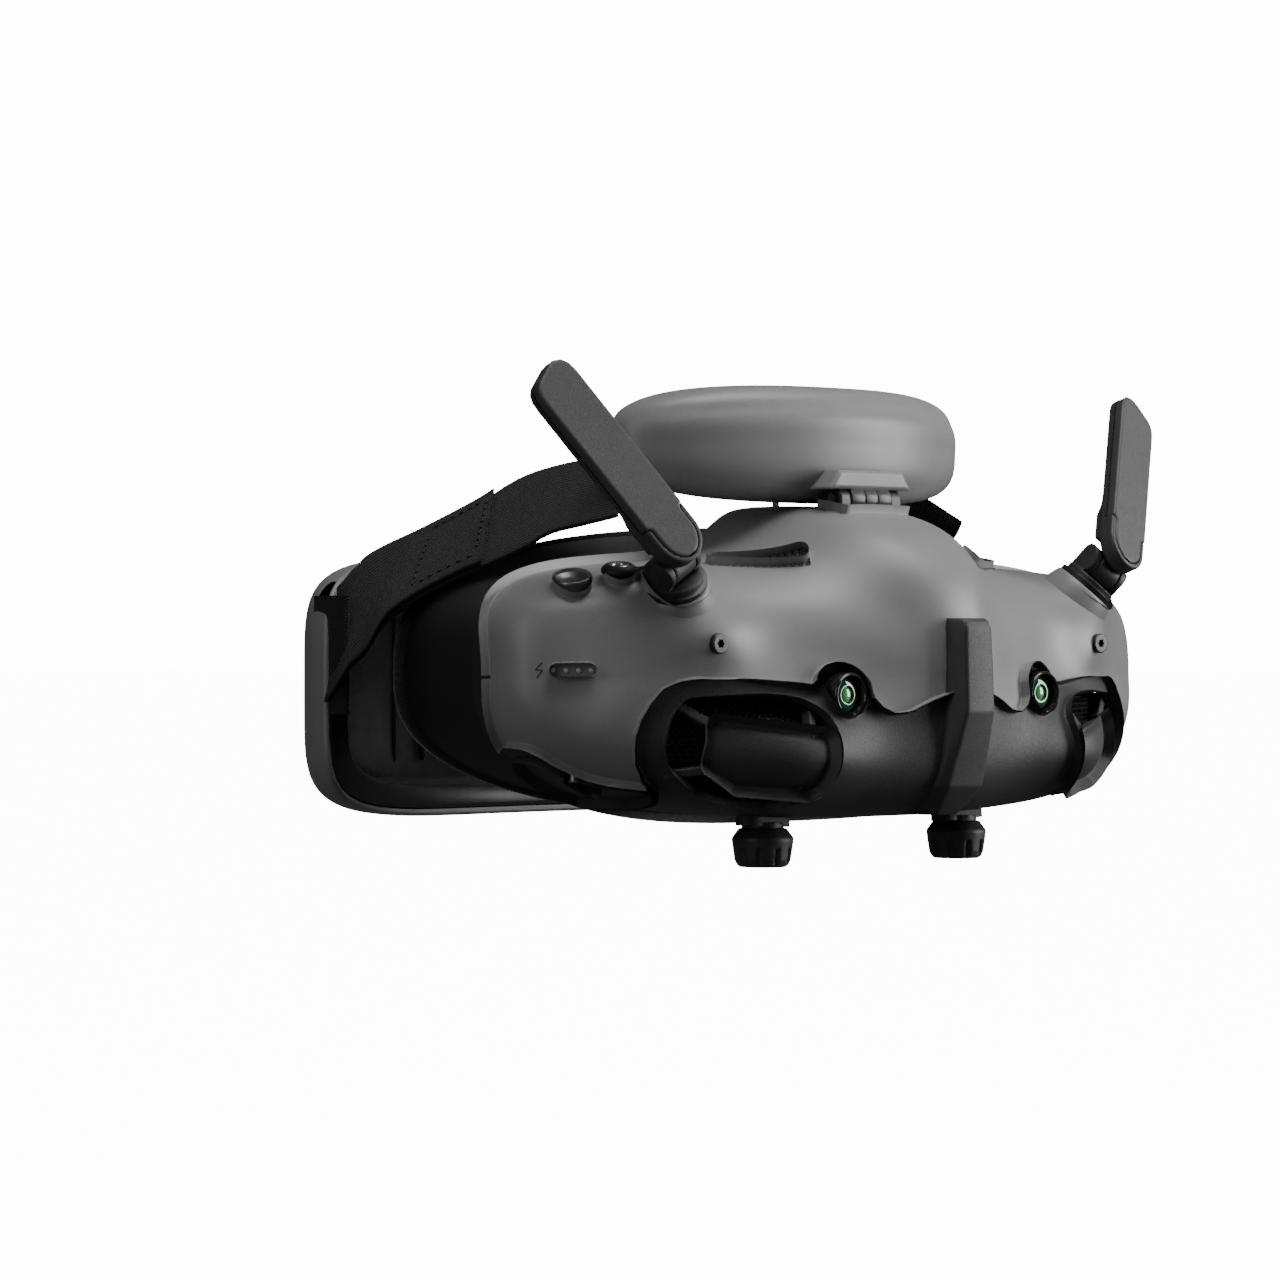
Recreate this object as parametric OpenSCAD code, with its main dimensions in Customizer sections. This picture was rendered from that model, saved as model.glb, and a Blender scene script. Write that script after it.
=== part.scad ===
// FPV goggles: a visor with twin eyepieces, folding antennas, a hinged forehead
// support and a rear pod on webbing straps.
// Frame: X across the face, +Y towards the back of the head, +Z up.
// The origin is the middle of the head space, 8 mm above the eye line.

/* [Visor] */
// Half of the visor's width
visor_half = 100.5; // [98:0.5:102]
// Height of the brow above the eye line at the sides
brow_rise = 25.5; // [24:0.5:26.5]
// Drop of the visor's underside below the eye line
chin_drop = 32.5; // [31:0.5:33.5]
// Extra height of the hump in the middle of the brow
hump_rise = 13.5; // [12:0.5:14.5]
// Wall thickness of the moulded shells
wall = 2.2; // [2:0.1:2.4]

/* [Optics] */
// Distance between the two eyepieces
eye_gap = 64; // [62:0.5:66]
// Radius of a focusing barrel
barrel_r = 15; // [14:0.25:15.5]
// Slide of each eyepiece to either side
ipd_travel = 4; // [3:0.5:4]
// Radius of a dial knob's grip
knob_r = 6.8; // [6.4:0.1:7]

/* [Antennas] */
// Length of a blade from its pin to its tip
blade_len = 51; // [48:1:54]
// Width of a blade
blade_w = 12.6; // [12:0.2:13]
// Thickness of a blade
blade_t = 4.4; // [4:0.2:4.8]

/* [Headband] */
// Half of the forehead support's width
brow_pad_half = 54; // [52:0.5:56]
// Half of the rear pod's width
pod_half = 95; // [93:0.5:96]
// Width of the webbing
strap_w = 27; // [25:0.5:28]

/* [Hidden] */

// Eye line: the height of the middle of the visor and of both eyepieces
eye_z = -8;
eye_x = eye_gap / 2;
// Points round an outline and rings from the middle to the rim of a shell
round_n = 66;
ring_n = 13;
// Gap between two parts of one shell at a seam
seam = 0.15;
cam_z = -12.1;
cam_y = -101.3;
knob_y = -74.5;
rail_y = -64;
rail_r = 1.5;
rail_top = 12;
rail_low = -28.5;
// Left antenna: place of the pin and lean of the pin, collar and blade
ant_at = [-71.3, -86.4, 18.0];
ant_roll = -31.8;
// The right antenna stands turned a little further on its collar
ant_turn_right = 5;
collar_lean = 27.6;
blade_lean = -23.2;
collar_r = 6.4;
// Room between the pin's axis and the back of the blade
blade_gap = 4;
hinge_y = -75;
hinge_z = 32.2;
screw_x = 62.8;
stick_at = [-76.4, -74.6, 11.8];
stick_tilt = [23, -16.5, 0];
button_at = [-86.2, -70.3, 10.2];
button_tilt = [22, -20.5, 0];
light_at = [-91.8, -76.3, -6.5];
light_turn = -37;
vent_turn = -31;
port_at = [-82, -71.6, -24.6];
fan_at = [0, -71.9, 13];
fan_r = 9.2;

// ---------------------------------------------------------------- shapes

// A point on a closed outline with its own roundness above and below
function outline(a, half, up, down, n_up, n_down) =
    let (c = cos(a), s = sin(a), n = s >= 0 ? n_up : n_down, h = s >= 0 ? up : down,
         k = pow(pow(abs(c), n) + pow(abs(s), n), -1 / n))
    [half * c * k, h * s * k];

function hump(x) = hump_rise / (1 + pow(abs(x) / 27, 5));

// The visor's widest outline, drawn in by t
function visor_rim(a, t) =
    let (p = outline(a, visor_half - t, brow_rise - t, chin_drop - t, 4.5, 2.6))
    [p[0], p[1] + (sin(a) > 0 ? hump(p[0]) * pow(sin(a), 0.5) : 0)];

function bell(x, z, cx, cz, wx, wz) = exp(-pow((x - cx) / wx, 2) - pow((z - cz) / wz, 2));

// How far forward the face of the visor lies at a place seen from the front
function visor_face(x, z) =
    let (ax = abs(x))
    -(94 + 13 * exp(-pow(x / 30, 2)) - 0.0011 * x * x
      + 13 * bell(ax, z, 46, -27, 20, 14)
      + 4 * bell(ax, z, 70, 17, 10, 10)
      + 4.4 * bell(ax, z, screw_x, -0.8, 12, 9));

function visor_rim_y(a) = -50 - 12 * pow(abs(cos(a)), 1.5);

// A point on the visor's skin: g runs from 0 in the middle to 1 at the rim
function visor_point(a, g, t) =
    let (r = visor_rim(a, t), x = r[0] * g, z = eye_z + r[1] * g, y0 = visor_rim_y(a),
         n = 2.9 + 2.4 * pow(max(0, -sin(a)), 1.5), w = pow(1 - pow(g, n), 1 / n))
    [x, y0 - (y0 - visor_face(x, z) - t) * w, z];

// A closed solid from rings of points, with both ends closed by a middle point
module ring_solid(first, rings, last) {
    n = len(rings[0]);
    m = len(rings);
    pts = [first, for (r = rings) each r, last];
    end = 1 + m * n;
    faces = [
        for (i = [0 : n - 1]) [0, 1 + (i + 1) % n, 1 + i],
        for (k = [0 : m - 2]) for (i = [0 : n - 1]) each [
            [1 + k * n + i, 1 + k * n + (i + 1) % n, 1 + (k + 1) * n + i],
            [1 + k * n + (i + 1) % n, 1 + (k + 1) * n + (i + 1) % n, 1 + (k + 1) * n + i]
        ],
        for (i = [0 : n - 1]) [end, end - n + i, end - n + (i + 1) % n]
    ];
    polyhedron(pts, faces);
}

// The visor as a closed body, drawn in by t, with its back at back_y
module visor_body(t, back_y) {
    angles = [for (i = [0 : round_n - 1]) i * 360 / round_n];
    gs = [for (k = [1 : ring_n]) pow(sin(k * 90 / ring_n), 0.75)];
    face_rings = [for (g = gs) [for (a = angles) visor_point(a, g, t)]];
    back_ring = [for (a = angles) let (r = visor_rim(a, t) * 0.995)
        [r[0], max(back_y, visor_rim_y(a) + 3), eye_z + r[1]]];
    ring_solid(visor_point(0, 0, t), concat(face_rings, [back_ring]), [0, max(back_y, -47), eye_z]);
}

// Hands a whole subtree over as one mesh
module as_mesh() {
    resize([0, 0, 0]) children();
}

// The slot for one top vent, which follows the flank of the hump
module vent_slot(r) {
    hull() for (x = [-9.5, 9.5])
        translate([-36, -77, 10]) rotate([0, 0, vent_turn])
            translate([x, 0, 0]) cylinder(r = r, h = 20, $fn = 16);
}

module mirrored_pair() {
    children();
    mirror([1, 0, 0]) children();
}

// Lays a drawing in X and Z out as a slab that runs from y0 to y1
module slab(y0, y1) {
    translate([0, y1, 0]) rotate([90, 0, 0]) linear_extrude(y1 - y0) children();
}

// The dark lower region of the visor, seen from the front
module cover_outline(grow) {
    half = [
        [0, -9], [4, -11.3], [10.3, -13.4], [16.1, -16.1], [23.8, -15], [25.6, -12.1],
        for (a = [160 : -20 : 20]) [eye_x + 6.6 * cos(a), cam_z + 6.6 * sin(a)],
        [42.2, -10.8], [49, -9.9], [58, -8.5], [66.6, -8.1], [70, -8.9], [73.5, -10.8], [76.4, -14.1],
        [78.4, -17.3], [79.4, -20.5], [78.8, -25], [75.5, -29.4], [67.6, -33.9], [68, -60], [0, -60]
    ];
    offset(delta = grow) {
        polygon(half);
        mirror([1, 0]) polygon(half);
    }
}

// The hollow of one cheek pod, seen from the front
module pod_outline(grow) {
    offset(r = grow, $fn = 24)
        polygon([
            [39, -18], [44, -14], [52, -12.6], [65.2, -12.4], [69.4, -13], [72.5, -17.3],
            [73.6, -22.8], [71.6, -27.8], [63.4, -32.7], [54.4, -35], [46.2, -35], [40, -32]
        ]);
}

module pod_cover_outline() {
    offset(r = 1.5, $fn = 24) polygon([[42.5, -22.4], [63.7, -19], [64.6, -26.4], [58, -30.6], [43, -31.9]]);
}

// A skin between two depths under the visor's surface
module visor_skin(t0, t1) {
    difference() {
        visor_body(t0, -60);
        visor_body(t1, -10);
    }
}

module on_collar(turn = 0) {
    translate(ant_at) rotate([0, ant_roll, 0]) rotate([collar_lean, 0, 0]) rotate([0, 0, turn]) children();
}

module at_button() {
    translate(button_at) rotate(button_tilt) children();
}

module at_stick() {
    translate(stick_at) rotate(stick_tilt) children();
}

module at_light() {
    translate(light_at) rotate([0, 0, light_turn]) rotate([90, 0, 0]) children();
}

module side(left) {
    if (left) children();
    else mirror([1, 0, 0]) children();
}

// ---------------------------------------------------------------- visor shells

module front_shell() {
    color("darkgray") as_mesh() difference() {
        visor_skin(0, wall);
        slab(-130, -20) cover_outline(seam);
        slab(-130, -95) blade_outline(0.2);
        mirrored_pair() {
            on_collar() translate([0, 0, -16]) cylinder(r = collar_r + 1.2, h = 40, $fn = 40);
            vent_slot(3.8);
            translate([screw_x, -100, -0.8]) rotate([-90, 0, 0]) cylinder(r = 1.6, h = 30, $fn = 24);
        }
        at_stick() translate([0, 0, -8]) cylinder(r = 5.6, h = 20, $fn = 40);
        at_button() translate([0, 0, -6]) cylinder(r = 4.9, h = 20, $fn = 40);
        at_light() hull() for (x = [-5.2, 5.2]) translate([x, 0, -8]) cylinder(r = 1.7, h = 20, $fn = 20);
        translate(port_at) cube([13, 9, 26], center = true);
        translate([0, hinge_y, hinge_z - 4]) cube([21, 9, 10], center = true);
    }
}

module front_cover() {
    color("dimgray") as_mesh() difference() {
        intersection() {
            visor_skin(0, wall);
            slab(-130, -20) cover_outline(-seam);
        }
        mirrored_pair() {
            slab(-130, -60) pod_outline(0);
            translate([eye_x, -110, cam_z]) rotate([-90, 0, 0]) cylinder(r = 5.2, h = 30, $fn = 40);
            hull() for (x = [-ipd_travel, ipd_travel])
                translate([eye_x + x, knob_y, -50]) cylinder(r = 3.2, h = 20, $fn = 24);
        }
        slab(-130, -95) blade_outline(0.2);
    }
}

// The ridge down the middle of the front, seen from the front
module blade_outline(grow) {
    offset(delta = grow)
        polygon([
            [-7, 4.6], [7, 4.6], [7.8, -16], [8.6, -33], [4.8, -39.6],
            [-4.8, -39.6], [-8.6, -33], [-7.8, -16]
        ]);
}

module centre_blade() {
    // Stations down the ridge: height, face depth, half width of the face, half width and depth of the foot
    stations = [
        [4.6, -110.0, 4.0, 7.0, -98], [2.6, -111.2, 4.4, 7.4, -99], [-16, -111.9, 4.6, 7.8, -101],
        [-33, -107, 5.6, 8.6, -97], [-39.6, -101, 3.4, 4.8, -92]
    ];
    rings = [for (s = stations) [
        [s[3], s[4], s[0]], [s[3], s[4] - 4, s[0]], [s[2], s[1], s[0]],
        [-s[2], s[1], s[0]], [-s[3], s[4] - 4, s[0]], [-s[3], s[4], s[0]]
    ]];
    top = stations[0];
    foot = stations[len(stations) - 1];
    color("dimgray") as_mesh() difference() {
        ring_solid([0, top[1] + 5, top[0]], rings, [0, foot[1] + 5, foot[0]]);
        visor_body(wall, -40);
    }
}

module camera_bezel(left) {
    color("black") side(left) translate([-eye_x, cam_y, cam_z]) rotate([90, 0, 0])
        rotate_extrude($fn = 64)
            polygon([[3.9, -6], [4.95, -6], [4.95, 0.6], [4.5, 1.2], [4.1, 0.6], [3.9, -1]]);
}

module camera_glass(left) {
    color("darkgreen") side(left) translate([-eye_x, cam_y, cam_z]) rotate([90, 0, 0])
        rotate_extrude($fn = 64)
            polygon([[0, -2.2], [3.85, -2.2], [3.85, -1], [3, -0.4], [1.6, -0.1], [0, 0]]);
}

module camera_module(left) {
    color("black") side(left) translate([-eye_x, cam_y, cam_z]) rotate([90, 0, 0]) {
        translate([0, 0, -7.5]) cylinder(r = 3.2, h = 5, $fn = 48);
        translate([0, 0, -9]) cube([8, 8, 3], center = true);
    }
}

module pod_cover(left) {
    color("black") side(!left) as_mesh() intersection() {
        visor_skin(-0.3, 2.2);
        slab(-130, -60) pod_cover_outline();
    }
}

module pod_grille(left) {
    color("black") side(!left) as_mesh() difference() {
        intersection() {
            visor_skin(2.6, 5);
            slab(-130, -64) pod_outline(-0.3);
        }
        for (x = [46 : 5 : 74], z = [-32.5, -17.2])
            translate([x, -90, z]) cube([3.4, 60, 3], center = true);
    }
}

module top_vent(left) {
    color("black") side(left) as_mesh() difference() {
        intersection() {
            visor_skin(1.0, 2.2);
            vent_slot(3.6);
        }
        translate([-36, -77, 16]) rotate([0, 0, vent_turn])
            for (x = [-8 : 4 : 8], y = [-1.6, 1.6]) translate([x, y, 0]) cube([2.8, 1.5, 20], center = true);
    }
}

module pan_screw(r, head, h) {
    difference() {
        union() {
            cylinder(r = head, h = 1.6, $fn = 40);
            translate([0, 0, -h]) cylinder(r = r, h = h + 0.5, $fn = 24);
        }
        translate([0, 0, 0.7]) cylinder(r = head * 0.45, h = 2, $fn = 6);
    }
}

module front_screws() {
    color("black") mirrored_pair()
        translate([screw_x, -91.2, -0.8]) rotate([90, 0, 0]) pan_screw(1.4, 2.1, 6);
}

module case_screws() {
    color("black") for (x = [-60, 60], z = [8, -24])
        translate([x, -51.9, z]) rotate([-90, 0, 0]) pan_screw(1.2, 2.0, 4);
}

module light_window() {
    color("gray") at_light() difference() {
        hull() for (x = [-5, 5]) translate([x, 0, -1.6]) cylinder(r = 1.5, h = 1.3, $fn = 32);
        for (x = [-4.8, -1.6, 1.6, 4.8]) translate([x, 0, -0.7]) cylinder(r = 0.6, h = 2, $fn = 20);
    }
}

// USB-C socket and memory card slot, open downwards
module port_block() {
    color("silver") translate(port_at) difference() {
        translate([0, 0, 1]) cube([12.4, 8.4, 12], center = true);
        hull() for (x = [-3, 3]) translate([x, -1.4, -6]) cylinder(r = 1.3, h = 8, $fn = 24);
        translate([0, 2.6, -4]) cube([11, 0.9, 8], center = true);
    }
}

// ---------------------------------------------------------------- optics

module rim_outline(t) {
    polygon([for (i = [0 : round_n - 1]) let (r = visor_rim(i * 360 / round_n, t)) [r[0], eye_z + r[1]]]);
}

module nose_notch(grow) {
    hull() {
        translate([0, -44]) circle(r = 15 + grow, $fn = 48);
        translate([0, -30]) circle(r = 8 + grow, $fn = 48);
    }
}

module rear_frame() {
    color("black") difference() {
        union() {
            slab(-54.5, -52) rim_outline(4.2);
            // Lip that shows as a dark band behind the shell
            slab(-60.5, -50) difference() {
                rim_outline(3.0);
                rim_outline(5.0);
            }
            // Posts that carry the slide rails
            for (x = [-61, 0, 61], z = [rail_top, rail_low])
                translate([x, (rail_y - 4 - 53) / 2, z]) cube([5, -53 - rail_y + 4, 6.4], center = true);
        }
        mirrored_pair() {
            slab(-80, -40) hull() for (x = [-ipd_travel, ipd_travel])
                translate([eye_x + x, eye_z]) circle(r = barrel_r + 0.8, $fn = 64);
            for (z = [8, -24])
                translate([60, -60, z]) rotate([-90, 0, 0]) cylinder(r = 1.25, h = 20, $fn = 24);
        }
        slab(-80, -40) nose_notch(0);
        for (z = [rail_top, rail_low])
            translate([-70, rail_y, z]) rotate([0, 90, 0]) cylinder(r = rail_r, h = 140, $fn = 32);
    }
}

module slide_rails() {
    color("silver") for (z = [rail_top, rail_low])
        translate([-63.4, rail_y, z]) rotate([0, 90, 0]) cylinder(r = rail_r, h = 126.8, $fn = 32);
}

module carriage(left) {
    color("dimgray") side(left) translate([-eye_x, 0, 0]) difference() {
        union() {
            translate([0, -58, eye_z]) rotate([90, 0, 0]) cylinder(r = barrel_r + 2, h = 22, $fn = 96);
            translate([0, rail_y - 2, (rail_top + eye_z + barrel_r) / 2 + 1])
                cube([16, 11, 9], center = true);
            translate([0, (knob_y + rail_y) / 2, -27.8]) cube([18, 17.5, 10], center = true);
        }
        translate([0, -50, eye_z]) rotate([90, 0, 0]) cylinder(r = barrel_r + 0.06, h = 40, $fn = 96);
        for (z = [rail_top, rail_low])
            translate([-20, rail_y, z]) rotate([0, 90, 0]) cylinder(r = rail_r + 0.05, h = 40, $fn = 32);
        translate([0, knob_y, -40]) cylinder(r = 2.05, h = 14.3, $fn = 32);
    }
}

module focus_barrel(left) {
    color("black") side(left) translate([-eye_x, 0, eye_z]) rotate([90, 0, 0]) difference() {
        translate([0, 0, 48]) cylinder(r = barrel_r, h = 34, $fn = 96);
        translate([0, 0, 40]) cylinder(r = barrel_r - 1.6, h = 14, $fn = 96);
        translate([0, 0, 53]) cylinder(r = barrel_r - 3.4, h = 27, $fn = 96);
        translate([0, 0, 81]) cube([13.4, 13.4, 6], center = true);
    }
}

module eye_lens(left) {
    color("lightblue", 0.6) side(left) translate([-eye_x, -50, eye_z]) rotate([90, 0, 0])
        rotate_extrude($fn = 96) polygon([
            [0, 4.0], [13.3, 4.0], [13.3, 2.2], [11.5, 1.5], [8, 0.6], [4, 0.15], [0, 0]
        ]);
}

module display(left) {
    color("black") side(left) translate([-eye_x, -81, eye_z]) cube([13, 1.8, 13], center = true);
}

module dial_knob(left) {
    slots = 10;
    color("black") side(left) translate([-eye_x, knob_y, 0]) difference() {
        union() {
            translate([0, 0, -44]) cylinder(r = 2, h = 18, $fn = 32);
            rotate_extrude($fn = 60) polygon([
                [0, -51], [5.1, -51], [6.25, -49.7], [knob_r, -44.8], [5.45, -42.3],
                [4.65, -42.2], [4.65, -40.9], [0, -40.9]
            ]);
        }
        for (i = [0 : slots - 1]) rotate([0, 0, 3.5 + i * 360 / slots])
            translate([knob_r + 0.3, 0, -49.4]) cube([1.8, 1.4, 4.2], center = true);
    }
}

// ---------------------------------------------------------------- electronics

module mainboard() {
    color("darkgreen") slab(-90.2, -88.8) difference() {
        translate([-23, -26]) square([46, 30]);
        for (x = [-20, 20], z = [-23, 1]) translate([x, z]) circle(r = 1.1, $fn = 24);
    }
}

module heat_sink() {
    color("silver") {
        slab(-88.8, -87) translate([-9, -16]) square([18, 18]);
        for (x = [-8.4 : 2.1 : 8.4]) slab(-87.2, -80) translate([x - 0.4, -16]) square([0.8, 18]);
    }
}

module fan_frame() {
    color("black") translate(fan_at) rotate([90, 0, 0]) difference() {
        cube([21, 20, 7], center = true);
        difference() {
            translate([0, 0, -2.3]) cylinder(r = fan_r + 0.4, h = 10, $fn = 64);
            translate([0, 0, -3]) cylinder(r = 2.6, h = 1.6, $fn = 48);
        }
        for (a = [0 : 120 : 240]) rotate([0, 0, a]) translate([5.4, 0, -3]) cube([4.6, 7, 2], center = true);
        translate([0, 0, -5]) cylinder(r = 0.9, h = 10, $fn = 32);
    }
}

module fan_rotor() {
    color("dimgray") translate(fan_at) rotate([90, 0, 0]) {
        difference() {
            translate([0, 0, -1.1]) cylinder(r = 4, h = 4, $fn = 64);
            translate([0, 0, -2]) cylinder(r = 3.1, h = 3.6, $fn = 64);
        }
        translate([0, 0, -3.2]) cylinder(r = 0.85, h = 6, $fn = 32);
        for (a = [0 : 40 : 320]) rotate([0, 0, a]) translate([6.3, 0, 1]) rotate([35, 0, 0])
            cube([5.2, 0.7, 4], center = true);
    }
}

// ---------------------------------------------------------------- antennas

module antenna_sockets() {
    color("dimgray") difference() {
        mirrored_pair() on_collar() translate([0, 0, -9.5]) rotate_extrude($fn = 64)
            polygon([
                [3.05, -1], [collar_r + 1, -1], [collar_r + 1, 3.2],
                [collar_r, 3.4], [collar_r, 2.4], [3.05, 2.4]
            ]);
        at_stick() translate([0, 0, -6]) cylinder(r = 5.6, h = 20, $fn = 48);
    }
}

module antenna_collar(left) {
    color("dimgray") side(left) on_collar(left ? 0 : ant_turn_right) difference() {
        union() {
            translate([0, 0, -11]) cylinder(r = 3, h = 5, $fn = 48);
            translate([0, 0, -6.9]) cylinder(r = collar_r - 0.1, h = 1.6, $fn = 64);
            // Two rounded ears that carry the pin, trimmed to the collar's round
            intersection() {
                translate([0, 0, -6.9]) cylinder(r = collar_r - 0.1, h = 16, $fn = 64);
                union() {
                    translate([0, 0, -2]) rotate([0, 90, 0])
                        cylinder(r = 3.8, h = 20, center = true, $fn = 48);
                    translate([0, 1.4, -4.4]) cube([20, 7.6, 4.8], center = true);
                }
            }
        }
        translate([0, 0, -2]) rotate([0, 90, 0]) cylinder(r = 3.95, h = 7.2, center = true, $fn = 48);
        translate([0, -3, 2]) cube([7.2, 14, 8], center = true);
        translate([0, 3, 1]) cube([7.2, 14, 6], center = true);
        translate([0, 0, -2]) rotate([0, 90, 0]) cylinder(r = 1.25, h = 20, center = true, $fn = 32);
    }
}

module antenna_pin(left) {
    color("black") side(left) on_collar(left ? 0 : ant_turn_right) translate([0, 0, -2]) rotate([0, 90, 0])
        cylinder(r = 1.2, h = 10.6, center = true, $fn = 32);
}

module antenna_blade(left) {
    color("dimgray") side(left) on_collar(left ? 0 : ant_turn_right)
        translate([0, 0, -2]) rotate([blade_lean - collar_lean, 0, 0]) difference() {
            union() {
                rotate([0, 90, 0]) cylinder(r = 3, h = 6.8, center = true, $fn = 48);
                translate([-3.2, -6, 0.6]) cube([6.4, 7, 2.4]);
                // The blade: a flat bar with a slanted tip and a rounded foot
                translate([0, -blade_gap - blade_t / 2, 0]) rotate([90, 0, 0])
                    linear_extrude(blade_t, center = true) polygon([
                        for (a = [180 : 15 : 360]) [blade_w / 2 * cos(a), 5 + 5.5 * sin(a)],
                        [blade_w / 2, blade_len - 3], [blade_w / 2 - 1, blade_len - 1],
                        [blade_w / 2 - 3.2, blade_len], [2.6 - blade_w / 2, blade_len - 1.6],
                        [0.6 - blade_w / 2, blade_len - 2.8], [-blade_w / 2, blade_len - 5]
                    ]);
            }
            rotate([0, 90, 0]) cylinder(r = 1.25, h = 20, center = true, $fn = 32);
        }
}

// ---------------------------------------------------------------- controls

module stick_ring() {
    color("silver") at_stick() rotate_extrude($fn = 64)
        polygon([[3.3, -1.2], [5.3, -1.2], [5.3, 1.9], [4.7, 2.3], [4.3, 0], [3.3, -0.4]]);
}

module stick_plunger() {
    color("dimgray") at_stick() translate([0, 0, -6]) cylinder(r = 3, h = 2.2, $fn = 48);
}

module stick_gimbal() {
    color("dimgray") at_stick() translate([0, 0, -2.6]) {
        cylinder(r = 2, h = 1, center = true, $fn = 48);
        for (turn = [0, 90])
            rotate([0, 90, turn]) cylinder(r = 0.8, h = 5.6, center = true, $fn = 32);
    }
}

module stick_cap() {
    color("black") at_stick() rotate_extrude($fn = 64)
        polygon([[0, -1.4], [1.8, -1.4], [1.8, 2.2], [3.3, 2.7], [3.8, 3.6], [3.5, 4.5], [2.4, 5], [0, 4.8]]);
}

module back_button() {
    color("dimgray") at_button() rotate_extrude($fn = 64)
        polygon([[0, -2.5], [3.2, -2.5], [3.2, 0], [4.5, 0], [4.5, 1.8], [3.9, 2.3], [0, 1.9]]);
}

// ---------------------------------------------------------------- headband

module hinge_bracket() {
    color("black") translate([0, hinge_y, 0]) difference() {
        union() {
            translate([0, 0, hinge_z - 5.2]) cube([20, 7, 3.4], center = true);
            for (x = [-8.2, 8.2]) {
                translate([x, 0, hinge_z]) rotate([0, 90, 0])
                    cylinder(r = 2.6, h = 3.4, center = true, $fn = 48);
                translate([x, 0, hinge_z - 2.2]) cube([3.4, 5.2, 4.4], center = true);
            }
        }
        translate([0, 0, hinge_z]) rotate([0, 90, 0]) cylinder(r = 1.25, h = 30, center = true, $fn = 32);
    }
}

module hinge_pin() {
    color("silver") translate([0, hinge_y, hinge_z]) rotate([0, 90, 0])
        cylinder(r = 1.2, h = 21, center = true, $fn = 32);
}

// A shallow dome bent round the head: half, up, down and n give its outline,
// (y0, bend) its rim, deep how far it bulges (towards the front when negative)
function dome_point(a, g, z0, half, up, down, n, y0, bend, deep) =
    let (p = outline(a, half, up, down, n, n), x = p[0] * g, w = pow(1 - pow(g, 3), 1 / 3))
    [x, y0 + bend * pow(x / half, 2) + deep * w, z0 + p[1] * g];

module dome(z0, half, up, down, n, y0, bend, deep, skirt) {
    angles = [for (i = [0 : 59]) i * 6];
    gs = [for (k = [1 : 8]) pow(sin(k * 90 / 8), 0.75)];
    fronts = [for (g = gs) [for (a = angles) dome_point(a, g, z0, half, up, down, n, y0, bend, deep)]];
    backs = [for (g = [1, 0.75, 0.5, 0.25])
        [for (a = angles) dome_point(a, g, z0, half, up, down, n, y0 + skirt, bend, 0)]];
    if (deep < 0) ring_solid([0, y0 + deep, z0], concat(fronts, backs), [0, y0 + skirt, z0]);
    else mirror([0, 1, 0]) ring_solid([0, -y0 - deep, z0],
        [for (r = concat(fronts, backs)) [for (p = r) [p[0], -p[1], p[2]]]], [0, -y0 - skirt, z0]);
}

module forehead_shell() {
    color("darkgray") {
        as_mesh() difference() {
            dome(45, brow_pad_half, 13.5, 13.5, 3.2, -61, 13, -13, 0.6);
            dome(45, brow_pad_half - 2, 11.5, 11.5, 3.2, -61, 13, -11, 4);
        }
        // Arm down to the hinge
        difference() {
            union() {
                translate([0, hinge_y, hinge_z]) rotate([0, 90, 0])
                    cylinder(r = 2.6, h = 12.4, center = true, $fn = 48);
                translate([0, hinge_y + 2.4, hinge_z + 2.4]) cube([12.4, 6.4, 4.4], center = true);
            }
            translate([0, hinge_y, hinge_z]) rotate([0, 90, 0])
                cylinder(r = 1.25, h = 30, center = true, $fn = 32);
        }
    }
}

module forehead_pad() {
    color("black") as_mesh() dome(45, brow_pad_half - 0.6, 12.4, 12.9, 3.2, -60.1, 13, 9, 0);
}

// The webbing from the forehead support to the rear pod: centre and lean of each station
strap_stations = [
    [-48, -46, 35.5, 62], [-54, -39.4, 33.6, 58], [-60, -32, 31, 54], [-70, -22, 24, 51],
    [-81, -5, 13.3, 47], [-87.6, 1.6, 5, 34], [-90.2, 5, -1, 14], [-90.8, 8.4, -4, 0]
];

module strap(left) {
    n = len(strap_stations);
    t = 0.8;
    rings = [for (i = [0 : n - 1]) let (
            s = strap_stations[i],
            before = strap_stations[max(i - 1, 0)], after = strap_stations[min(i + 1, n - 1)],
            run = [after[0] - before[0], after[1] - before[1], 0],
            d = run / norm(run),
            inward = [d[1], -d[0], 0],
            up = inward * sin(s[3]) + [0, 0, cos(s[3])],
            out = -inward * cos(s[3]) + [0, 0, sin(s[3])],
            c = [s[0], s[1], s[2]])
        [c + up * strap_w / 2 + out * t, c - up * strap_w / 2 + out * t,
         c - up * strap_w / 2 - out * t, c + up * strap_w / 2 - out * t]];
    first = strap_stations[0];
    last = strap_stations[n - 1];
    color("black") side(left)
        ring_solid([first[0], first[1], first[2]], rings, [last[0], last[1], last[2]]);
}

module light_shield() {
    color("black") as_mesh() gasket([0, 0.35, 0.7, 1], 0, 2.2, 0);
}

module face_foam() {
    color("dimgray") as_mesh() gasket([1, 1], -1, 6, 4);
}

// Where the light shield's rear edge meets the face
function face_y(x) = -37 + 23 * pow(x / 80, 2);

function shield_point(a, t, f) =
    let (r0 = visor_rim(a, 6), r1 = outline(a, 84, 33, 32, 3.0, 2.6),
         x = r0[0] + (r1[0] - r0[0]) * f, z = r0[1] + (r1[1] - r0[1]) * f,
         nose = -15 * f * exp(-pow(x / 13, 2)) * (sin(a) < 0 ? 1 : 0),
         m = norm([x, z]))
    [x * (1 - t / m), -49.6 + (face_y(x) + 49.6) * f, eye_z + (z - nose) * (1 - t / m)];

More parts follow.
